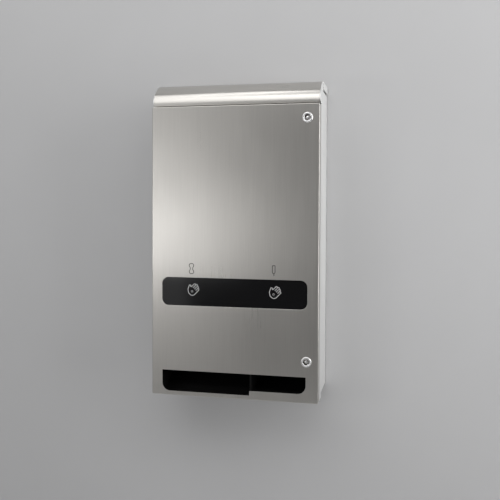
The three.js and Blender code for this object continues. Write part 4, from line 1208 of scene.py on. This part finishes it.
def make_column(node, wall_front):
    """Two side sheets with their lips and feet, and a back sheet between them."""
    place = span(node)
    low, high = place.bottom, place.top
    right = bent([
        (place.right - SHEET - LIP, place.front, 0), (place.right, place.front, BEND),
        (place.right, place.back, BEND), (place.right - SHEET - FOOT, place.back, 0),
    ])
    left = bent([
        (place.left + SHEET + FOOT, place.back, 0), (place.left, place.back, BEND),
        (place.left, place.front, BEND), (place.left + SHEET + LIP, place.front, 0),
    ])
    near, far = place.left + SHEET, place.right - SHEET
    back = bent([
        (near, wall_front + INNER_FLANGE, 0), (near, wall_front, BEND),
        (far, wall_front, BEND), (far, wall_front + INNER_FLANGE, 0),
    ])
    parts = [(prism([section], "Z", low, high), "galvanised_steel") for section in (right, left, back)]
    for share in RIVET_SHARES:
        z = low + (high - low) * share
        y = wall_front + INNER_FLANGE / 2
        parts.append((rivet("X", place.left, -1, y=y, z=z), "zinc_steel"))
        parts.append((rivet("X", place.right, 1, y=y, z=z), "zinc_steel"))
    piece(f"{node}_sheets", parts, node)


# Rotors and their drives

SHAFT = 0.004
GROOVE = 0.0004
BUSH_FLANGE = 0.0012
BUSH_BARREL = 0.006
SEAT_HEIGHT = 0.014
ROTOR_WALL = 0.003
HUB = 0.008
POCKETS = 3
POCKET = 0.011
POCKET_SINK = 0.004
MOULD_EDGE = 0.0005


def pad_rotor_loops(y, z, radius):
    """A drum with a flat seat on top, two hollow chambers, a rib below its hub and a bore."""
    seat = math.asin(SEAT_HEIGHT / radius)
    outer = arc(y, z, radius, math.pi - seat, math.tau + seat)
    inside = radius - ROTOR_WALL
    rib = ROTOR_WALL / 2
    under = SEAT_HEIGHT - ROTOR_WALL
    outer_tilt, hub_tilt = math.asin(rib / inside), math.asin(rib / HUB)
    chamber = [
        *arc(0, 0, inside, 3 * math.pi / 2 - outer_tilt, math.pi - math.asin(under / inside)),
        Vector((-rib, under)),
        *arc(0, 0, HUB, math.pi / 2 + hub_tilt, 3 * math.pi / 2 - hub_tilt),
    ]
    chambers = [[Vector((y + side * point.x, z + point.y)) for point in chamber] for side in (1, -1)]
    return [outer, *chambers, circle(y, z, SHAFT + GAP)]


def tampon_rotor_loops(y, z, radius):
    """A drum with round pockets in its rim and a bore."""
    reach = radius - POCKET_SINK
    mouth = math.acos((radius ** 2 + reach ** 2 - POCKET ** 2) / (2 * radius * reach))
    turn = math.acos((radius ** 2 - reach ** 2 - POCKET ** 2) / (2 * reach * POCKET))
    outline = []
    for pocket in range(POCKETS):
        facing = math.pi / 2 + math.tau * pocket / POCKETS
        centre = Vector((y, z)) + reach * Vector((math.cos(facing), math.sin(facing)))
        outline += arc(centre.x, centre.y, POCKET, facing - turn, facing + turn - math.tau)
        outline += arc(y, z, radius, facing + mouth, facing + math.tau / POCKETS - mouth)
    return [outline, circle(y, z, SHAFT + GAP)]


def make_rotor(name, loops):
    place = span(f"{name}_rotor")
    shaft = middle(f"{name}_shaft")
    radius = (place.back - place.front) / 2
    drum = prism(loops(shaft.y, shaft.z, radius), "X", place.left, place.right, MOULD_EDGE)
    piece(f"{name}_drum", [(drum, "white_plastic")], f"{name}_rotor")


def make_shaft(name):
    """A shaft with a groove near each end for a retaining ring."""
    node = f"{name}_shaft"
    place = span(node)
    profile = [(0, place.left, 0), (SHAFT, place.left, EDGE)]
    for start in (place.left + SHEET, place.right - 2 * SHEET):
        end = start + SHEET / 2
        profile += [(SHAFT, start, 0), (SHAFT - GROOVE, start, 0), (SHAFT - GROOVE, end, 0), (SHAFT, end, 0)]
    profile += [(SHAFT, place.right, EDGE), (0, place.right, 0)]
    piece(f"{name}_axle", [(lathe(chamfered(profile), "X", middle(node)), "zinc_steel")], node)


def make_bush(name, side):
    """A flanged bush, its flange towards the rotor. Side is -1 for the left one."""
    node = f"{name}_bush_left" if side < 0 else f"{name}_bush_right"
    place = span(node)
    inner, outer = (place.left, place.right) if side > 0 else (place.right, place.left)
    shoulder = inner + side * BUSH_FLANGE
    bore = SHAFT + GAP
    flange = (place.back - place.front) / 2
    profile = chamfered([
        (bore, inner, EDGE), (flange, inner, EDGE), (flange, shoulder, EDGE),
        (BUSH_BARREL, shoulder, 0), (BUSH_BARREL, outer, EDGE), (bore, outer, EDGE),
    ])
    piece(f"{node}_turned", [(lathe(profile, "X", middle(node)), "bronze")], node)


def u_sheet(place):
    """A sheet bent to a U that is open to the front, from its arms' ends round its back."""
    return prism([bent([
        (place.right, place.front, 0), (place.right, place.back, BEND),
        (place.left, place.back, BEND), (place.left, place.front, 0),
    ])], "Z", place.bottom, place.top)


RIVET_INSET = 0.012


def make_bracket(name):
    node = f"{name}_bracket"
    place = span(node)
    axis = middle(f"{name}_shaft")
    hole = through(circle(axis.y, axis.z, BUSH_BARREL + GAP), place.left, place.right, "X")
    parts = [(cut(u_sheet(place), hole), "galvanised_steel")]
    for x, z in corner_places(place, 2 * RIVET_INSET, RIVET_INSET):
        parts.append((rivet("Y", place.back - SHEET, -1, x=x, z=z), "zinc_steel"))
    piece(f"{name}_bracket_sheet", parts, node)


MOTOR_SHAFT_HOLE = 0.0036
MOTOR_BOSS = 0.005
MOTOR_SCREW_REACH = 0.0088
GEARBOX_LENGTH = 0.011
GEARBOX_BORE = 0.0083
MOTOR_STEP = 0.0008
CAP_LENGTH = 0.0035
TAB_REACH = 0.0085
TAB_HALF = 0.0014
TAB_THIN = 0.0003


def make_motor_bracket():
    place = span("motor_bracket")
    holes = []
    for name, left in (("pad", place.left), ("tampon", place.right - SHEET)):
        axis = middle(f"{name}_pinion")
        holes.append(through(circle(axis.y, axis.z, MOTOR_SHAFT_HOLE), left, left + SHEET, "X"))
    parts = [(cut(u_sheet(place), *holes), "galvanised_steel")]
    for name, face, side in (("pad", place.left, -1), ("tampon", place.right, 1)):
        axis = middle(f"{name}_pinion")
        for turn in (math.pi / 4, 5 * math.pi / 4):
            y = axis.y + MOTOR_SCREW_REACH * math.cos(turn)
            z = axis.z + MOTOR_SCREW_REACH * math.sin(turn)
            parts.append((rivet("X", face, side, y=y, z=z), "zinc_steel"))
    piece("motor_bracket_sheet", parts, "motor_bracket")


def make_motor(name, side):
    """A gear motor along X. Side is 1 where its body lies to the right of its mounting face."""
    node = f"{name}_motor"
    place = span(node)
    axis = middle(node)
    face, rear = (place.left, place.right) if side > 0 else (place.right, place.left)
    radius = (place.back - place.front) / 2
    gearbox_end = face + side * GEARBOX_LENGTH
    bore = MOTOR_SHAFT_HOLE - GAP
    sink = face + side * GEARBOX_BORE
    gearbox = chamfered([
        (0, sink, 0), (bore, sink, 0), (bore, face, 0), (radius, face, MOTOR_STEP),
        (radius, gearbox_end, EDGE), (0, gearbox_end, 0),
    ])
    wide = radius - MOTOR_STEP
    narrow = wide - MOTOR_STEP
    step = side * MOTOR_STEP
    cap_start = rear - side * CAP_LENGTH
    can = chamfered([
        (0, gearbox_end, 0), (wide - EDGE, gearbox_end, 0), (narrow, gearbox_end + side * EDGE, 0),
        (narrow, gearbox_end + step, 0), (wide, gearbox_end + 2 * step, 0),
        (wide, cap_start, EDGE), (0, cap_start, 0),
    ])
    cap_end = rear - side * SHEET
    cap = chamfered([
        (0, cap_start, 0), (narrow, cap_start, 0), (narrow, cap_end, MOTOR_STEP),
        (MOTOR_BOSS, cap_end, 0), (MOTOR_BOSS, rear, EDGE), (0, rear, 0),
    ])
    finished = ((gearbox, "galvanised_steel"), (can, "zinc_steel"), (cap, "black_plastic"))
    parts = [(lathe(profile, "X", axis), finish) for profile, finish in finished]
    left, right = sorted((cap_end - side * SHEET, rear))
    for y in (axis.y - TAB_REACH, axis.y + TAB_REACH):
        tab = box(left, right, y - TAB_THIN, y + TAB_THIN, axis.z - TAB_HALF, axis.z + TAB_HALF, TAB_THIN / 2)
        parts.append((tab, "bronze"))
    piece(f"{name}_gear_motor", parts, node)


# Sensors on their rail

CABLE_HOLE = 0.0036
EYE = 0.005
EYE_SPREAD = 0.011
EYE_HEIGHT = 0.004
LENS = 0.0034
LENS_RISE_SHARE = 0.75
LENS_STEPS = 8
BEZEL = 0.0025
SENSOR_EDGE = 0.0012
RAIL_CORNER = 0.003
RAIL_SCREW_HEAD = 0.0022


def make_rail():
    """The strip that carries both sensors, and its two screws."""
    place = span("sensor_rail")
    height = middle("sensor_rail").z
    holes = [circle(side * RAIL_SCREW_X, height, RAIL_SCREW_HOLE) for side in (-1, 1)]
    holes += [circle(middle(f"{name}_sensor").x, height, CABLE_HOLE) for name in ("pad", "tampon")]
    strip = prism([face_of(place, 0, RAIL_CORNER), *holes], "Y", place.front, place.back)
    piece("rail_strip", [(strip, "galvanised_steel")], "sensor_rail")
    for side in ("left", "right"):
        node = f"rail_screw_{side}"
        head = middle(node)
        screw = pan_screw(head.x, head.z, span(node), RAIL_SCREW_HOLE - GAP, RAIL_SCREW_HEAD)
        piece(f"rail_pan_screw_{side}", [(screw, "zinc_steel")], node)


def make_sensor(name):
    """A hand sensor: a box with a raised bezel and two hooded lenses."""
    node = f"{name}_sensor"
    place = span(node)
    centre = middle(node)
    front = place.front + EYE_HEIGHT
    rear = front + SHEET
    body = box(place.left, place.right, front, place.back, place.bottom, place.top, SENSOR_EDGE)
    rim = [face_of(place, BEZEL, BEZEL), face_of(place, 2 * BEZEL, BEZEL / 2)]
    bezel = prism(rim, "Y", front - SHEET / 2, front + SHEET / 2)
    parts = [(body, "black_plastic"), (bezel, "black_plastic")]
    sleeve = chamfered([
        (LENS, front, 0), (LENS, place.front, EDGE), (EYE, place.front, EDGE),
        (EYE, rear, 0), (LENS, rear, 0),
    ])
    turns = [math.pi / 2 * step / LENS_STEPS for step in range(LENS_STEPS + 1)]
    dome = [(LENS * math.sin(turn), front - LENS * LENS_RISE_SHARE * math.cos(turn)) for turn in turns]
    for x in (centre.x - EYE_SPREAD, centre.x + EYE_SPREAD):
        parts.append((lathe(sleeve, "Y", (x, 0, centre.z)), "black_plastic"))
        parts.append((lathe([*dome, (LENS, rear), (0, rear)], "Y", (x, 0, centre.z)), "dark_lens"))
    piece(f"{name}_hand_sensor", parts, node)


# Batteries

CELL_CAP = 0.0012
CELL_CAP_RADIUS = 0.005
CELL_END = 0.0016


def make_cells():
    """Round cells, each a metal body with a cap on top and a printed sleeve round it."""
    number = 1
    while f"battery_cell_{number}" in frame["nodes"]:
        node = f"battery_cell_{number}"
        place = span(node)
        radius = (place.right - place.left) / 2
        shoulder = place.top - CELL_CAP
        crimp = radius - CELL_END
        low, high = place.bottom + EDGE, shoulder - EDGE
        sleeve = chamfered([(crimp, low, 0), (radius, low, EDGE), (radius, high, EDGE), (crimp, high, 0)])
        body = chamfered([
            (0, place.bottom, 0), (crimp, place.bottom, 0), (crimp + EDGE, low + EDGE, 0),
            (crimp + EDGE, high - EDGE, 0), (crimp, shoulder, 0), (CELL_CAP_RADIUS, shoulder, EDGE),
            (CELL_CAP_RADIUS, place.top, EDGE), (0, place.top, 0),
        ])
        finished = ((sleeve, "cell_sleeve"), (body, "zinc_steel"))
        parts = [(lathe(profile, "Z", middle(node)), finish) for profile, finish in finished]
        piece(f"round_cell_{number}", parts, node)
        number += 1


COVER_RIB = 0.0007
COVER_RIBS = 14
COVER_RIB_WIDTH = 0.0016
COVER_RIB_PITCH = 0.004
CATCH_HALF = 0.008
CATCH_INSET = 0.006


def make_cover_ribs():
    """Grip ribs on the battery cover, at its opening side."""
    place = span("battery_cover")
    centre_z = middle("battery_case").z
    right = place.right - CATCH_INSET
    half = COVER_RIB_WIDTH / 2
    parts = []
    for rib in range(COVER_RIBS):
        z = centre_z + (rib - (COVER_RIBS - 1) / 2) * COVER_RIB_PITCH
        bar = box(
            right - 2 * CATCH_HALF, right, place.front - COVER_RIB, place.front + COVER_RIB,
            z - half, z + half, COVER_RIB / 2,
        )
        parts.append((bar, "grey_plastic"))
    made = piece("battery_cover_ribs", parts)
    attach(made, "cell_cover")


# Control board

BOARD_THICKNESS = 0.0016
PLUG_HEIGHT = 0.009
PLUG_HALF = 0.007
PLUG_DEPTH = 0.008
PLUG_REACH = 0.012
SWITCH_HALF = 0.0065
SWITCH_DEPTH = 0.006
CHIP_HALF = 0.008
CHIP_DEPTH = 0.003
CHIP_LOW = 0.044
CHIP_HIGH = 0.066
CHIP_LEGS = 14
BOARD_CORNER = 0.003
BUTTON_HOLE = 0.0043

# Small parts: half width, height off the board, finish, and places from the middle of the board's bottom edge
SMALL_PARTS = (
    (0.0012, 0.0008, "black_plastic",
     ((-0.016, 0.024), (-0.016, 0.028), (-0.016, 0.032), (-0.016, 0.056), (-0.016, 0.060))),
    (0.0014, 0.0008, "black_plastic", ((-0.012, 0.072), (-0.007, 0.072), (-0.002, 0.072))),
    (0.0016, 0.001, "bronze", ((0.014, 0.024), (0.014, 0.029))),
    (0.0024, 0.0018, "zinc_steel", ((0.015, 0.062),)),
)

# Capacitors: place from the middle of the board's bottom edge, radius, height off the board
CAPACITORS = ((0.014, 0.079, 0.004, 0.009), (0.004, 0.081, 0.0032, 0.007))
CAN_TOP_SHARES = (0.7, 0.78)
CAN_CRIMP_SHARES = (0.8, 0.6)


def on_board(x, half, front, low, high, edge=EDGE):
    """A block on the board, from a little inside it to a plane in front of it."""
    return box(x - half, x + half, front, span("control_board").back - BOARD_THICKNESS / 2, low, high, edge)


def capacitor(x, z, radius, face, front):
    """A round can on the board, with a pressed top and a crimp round its foot."""
    dent, brim = [radius * share for share in CAN_TOP_SHARES]
    crimp, foot = [face - share * SHEET for share in CAN_CRIMP_SHARES]
    profile = [
        (0, front + EDGE), (dent, front + EDGE), (brim, front), (radius - EDGE, front),
        (radius, front + EDGE), (radius, face - SHEET), (radius - EDGE, crimp), (radius, foot),
        (radius, face), (0, face),
    ]
    return lathe(profile, "Y", (x, 0, z), SCREW_SIDES)


def make_board():
    """The board with its chip, plugs, switch, small parts and capacitors."""
    board = span("control_board")
    button = middle("test_button")
    face = board.back - BOARD_THICKNESS
    holes = [circle(x, z, BOARD_PIN + GAP) for x, z in board_pins()]
    parts = [(prism([face_of(board, 0, BOARD_CORNER), *holes], "Y", face, board.back), "board_green")]
    ring = BOARD_PIN + 3 * GAP
    for x, z in board_pins():
        washer = prism([circle(x, z, 2 * ring), circle(x, z, ring)], "Y", face - 2 * PRINT, face, PRINT / 2)
        parts.append((washer, "bronze"))
    x = middle("control_board").x
    low, high = board.bottom + CHIP_LOW, board.bottom + CHIP_HIGH
    parts.append((on_board(x, CHIP_HALF - SHEET, face - CHIP_DEPTH, low, high), "black_plastic"))
    leg = (high - low) / CHIP_LEGS
    for index in range(CHIP_LEGS):
        z = low + leg * (index + 1 / 2)
        pins = on_board(x, CHIP_HALF, face - CHIP_DEPTH / 3, z - leg / 5, z + leg / 5, EDGE / 4)
        parts.append((pins, "zinc_steel"))
    for plug_x in (x - PLUG_REACH, x + PLUG_REACH):
        plug = on_board(
            plug_x, PLUG_HALF, face - PLUG_DEPTH, board.bottom, board.bottom + PLUG_HEIGHT, 2 * EDGE,
        )
        parts.append((plug, "white_plastic"))
    switch = [square(x, button.z, SWITCH_HALF, SHEET), circle(button.x, button.z, BUTTON_HOLE)]
    parts.append((prism(switch, "Y", face - SWITCH_DEPTH, face), "black_plastic"))
    for half, depth, finish, places in SMALL_PARTS:
        for offset, rise in places:
            z = board.bottom + rise
            part = on_board(x + offset, half, face - depth, z - half / 2, z + half / 2, EDGE / 2)
            parts.append((part, finish))
    for offset, rise, radius, depth in CAPACITORS:
        can = capacitor(x + offset, board.bottom + rise, radius, face, face - depth)
        parts.append((can, "cell_sleeve"))
    piece("board_with_parts", parts, "control_board")


DISH = 0.0004
DISH_SHARES = ((0.5, 0.7), (0.8, 0))


def make_button():
    """The test button's cap, with a dished face."""
    place = span("test_button")
    radius = (place.right - place.left) / 2
    dish = [(radius * across, place.front + DISH * depth) for across, depth in DISH_SHARES]
    profile = [
        (0, place.front + DISH), *dish, (radius - EDGE, place.front + EDGE / 2),
        (radius, place.front + 2 * EDGE), (radius, place.back - EDGE), (radius - EDGE, place.back),
        (0, place.back),
    ]
    piece("button_cap", [(lathe(profile, "Y", middle("test_button")), "button_red")], "test_button")


make_hood()
make_case()
make_door()
make_window()
for lock_name, lock_height in LOCKS.items():
    make_lock(lock_name, lock_height)
make_hinge()
make_back()
make_floor()
make_column("pad_magazine", PAD_WALL_FRONT)
make_column("tampon_magazine", span("tampon_magazine").front + SHEET + TAMPON_ROOM)
for drive_name, drive_loops, motor_side in (("pad", pad_rotor_loops, 1), ("tampon", tampon_rotor_loops, -1)):
    make_rotor(drive_name, drive_loops)
    make_shaft(drive_name)
    make_bush(drive_name, -1)
    make_bush(drive_name, 1)
    make_bracket(drive_name)
    make_motor(drive_name, motor_side)
    make_sensor(drive_name)
make_motor_bracket()
make_rail()
make_cells()
make_cover_ribs()
make_board()
make_button()


# Every CAD node gets a finish. Those that stay shown also get soft shading and broken edges.

# The tray takes the darker finish that paints the shade inside the mouth.
NODE_FINISHES = {"delivery_tray": "tray_painted_shade"}

for node_name, shown in frame["nodes"].items():
    slot = shown.data.materials[0].name
    shown.data.materials.clear()
    shown.data.materials.append(finishes[NODE_FINISHES.get(node_name, slot)])
    if shown.hide_render:
        continue
    joined = shown.modifiers.new("joined", "WELD")
    joined.merge_threshold = WELD
    broken = shown.modifiers.new("edges", "BEVEL")
    broken.width = EDGE
    broken.segments = 2
    broken.angle_limit = SMOOTH_ANGLE
    flatten(shown)


# Stage: a wall with an opening behind the case, and a floor far below. Both are seen from the front only.

WALL_GAP = 0.002
OPENING_INSET = 0.0015
WALL_REACH = 3.0
FLOOR = -0.95
WALL_PAINT = (0.50, 0.50, 0.505)
FLOOR_PAINT = (0.55, 0.55, 0.55)
PAINT_ROUGHNESS = 0.6
PAINT_SHADES = (0.985, 1.015)


def one_sided(name, colour):
    """A paint that is seen from the front of its plane and clear from behind."""
    made = bpy.data.materials.new(name)
    made.use_nodes = True
    tree = made.node_tree
    shader = tree.nodes["Principled BSDF"]
    shader.inputs["Roughness"].default_value = PAINT_ROUGHNESS
    clouds = grained(tree, (3, 3, 3), detail=2.0)
    dark, light = [shaded(colour, shade) for shade in PAINT_SHADES]
    tree.links.new(mixed(tree, spread(tree, clouds, 0.0, 1.0), dark, light), shader.inputs["Base Color"])
    clear = add_node(tree, "ShaderNodeBsdfTransparent").outputs["BSDF"]
    behind = add_node(tree, "ShaderNodeNewGeometry").outputs["Backfacing"]
    either = add_node(tree, "ShaderNodeMixShader", {0: behind, 1: shader.outputs["BSDF"], 2: clear})
    tree.links.new(either.outputs["Shader"], tree.nodes["Material Output"].inputs["Surface"])
    return made


def stage_plane(name, corners, faces, finish):
    mesh = bpy.data.meshes.new(name)
    mesh.from_pydata(corners, [], faces)
    mesh.materials.append(finish)
    made = bpy.data.objects.new(name, mesh)
    bpy.context.scene.collection.objects.link(made)


def make_stage():
    outer = [(-WALL_REACH, FLOOR), (WALL_REACH, FLOOR), (WALL_REACH, WALL_REACH), (-WALL_REACH, WALL_REACH)]
    low, high = REAR_BOTTOM + OPENING_INSET, TOP - OPENING_INSET
    side = HALF - OPENING_INSET
    inner = [(-side, low), (side, low), (side, high), (-side, high)]
    corners = [(x, WALL_GAP, z) for x, z in outer + inner]
    faces = [(corner, (corner + 1) % 4, 4 + (corner + 1) % 4, 4 + corner) for corner in range(4)]
    stage_plane("wall", corners, faces, one_sided("wall_paint", WALL_PAINT))
    floor_corners = [
        (-WALL_REACH, -WALL_REACH, FLOOR), (WALL_REACH, -WALL_REACH, FLOOR),
        (WALL_REACH, WALL_GAP, FLOOR), (-WALL_REACH, WALL_GAP, FLOOR),
    ]
    stage_plane("floor", floor_corners, [(0, 1, 2, 3)], one_sided("floor_paint", FLOOR_PAINT))


make_stage()


# Lamps: soft boxes on a sphere round the object, each given by the stretch of sky that it fills

LAMP_DISTANCE = 2.0
LAMP_TARGET = Vector((0, -0.13, 0))


def softbox(name, left, right, low, high, radiance):
    """A soft box between two azimuths, counted right from the front, and two elevations, in degrees."""
    azimuth = math.radians((left + right) / 2)
    elevation = math.radians((low + high) / 2)
    level = math.cos(elevation)
    away = Vector((level * math.sin(azimuth), -level * math.cos(azimuth), math.sin(elevation)))
    lamp = bpy.data.lights.new(name, "AREA")
    lamp.shape = "RECTANGLE"
    lamp.size = 2 * LAMP_DISTANCE * math.tan(math.radians(right - left) / 2) * level
    lamp.size_y = 2 * LAMP_DISTANCE * math.tan(math.radians(high - low) / 2)
    lamp.energy = radiance * math.pi * lamp.size * lamp.size_y
    made = bpy.data.objects.new(name, lamp)
    made.location = LAMP_TARGET + away * LAMP_DISTANCE
    made.rotation_euler = (-away).to_track_quat("-Z", "Y").to_euler()
    bpy.context.scene.collection.objects.link(made)


# Soft boxes: name, the azimuths and the elevations it lies between, and its radiance
SOFTBOXES = (
    ("right_side", 60, 80, -15, 35, 4.7),
    ("right_edge", 78, 90, -15, 35, 3.3),
    ("left_far", -50, -36, -8, 4, 5.6),
    ("left_near", -27, -20, -8, 4, 2.6),
    ("left_inner", -20, -13, -8, 4, 0.83),
    ("left_raised", -36, -20, 5, 13, 1.34),
    ("left_low", -36, -20, -22, -9, 0.54),
    ("slope_left", -60, -18, 14, 34, 0.62),
    ("slope_front", -18, 14, 14, 34, 0.12),
    ("upper_left", -60, -18, 28, 58, 1.45),
    ("upper_front", -18, 14, 28, 58, 1.75),
    ("upper_right", 14, 60, 28, 58, 1.95),
    ("overhead_left", -60, -18, 58, 84, 2.45),
    ("overhead_front", -18, 14, 58, 84, 0.6),
    ("behind", 150, 210, -20, 40, 1.2),
)

for box_settings in SOFTBOXES:
    softbox(*box_settings)

ROOM_LIGHT = 0.14

world = bpy.data.worlds.new("room")
bpy.context.scene.world = world
world.use_nodes = True
room = world.node_tree.nodes["Background"]
room.inputs["Color"].default_value = (1, 1, 1, 1)
room.inputs["Strength"].default_value = ROOM_LIGHT


# Camera at the photograph's place

CAMERA_PLACE = (0.3409, -1.5316, 0.0759)
CAMERA_YAW = math.radians(12.343)
CAMERA_PITCH = math.radians(1.719)
CAMERA_ROLL = math.radians(0.219)
CAMERA_LENS = 49.297
CAMERA_SHIFT = -0.0501

camera = bpy.data.cameras.new("camera")
camera.lens = CAMERA_LENS
camera.shift_y = CAMERA_SHIFT
viewer = bpy.data.objects.new("camera", camera)
viewer.matrix_world = (
    Matrix.Translation(CAMERA_PLACE)
    @ Matrix.Rotation(CAMERA_YAW, 4, "Z")
    @ Matrix.Rotation(math.pi / 2 - CAMERA_PITCH, 4, "X")
    @ Matrix.Rotation(CAMERA_ROLL, 4, "Z")
)
bpy.context.scene.collection.objects.link(viewer)
bpy.context.scene.camera = viewer
bpy.context.scene.view_settings.view_transform = "Standard"
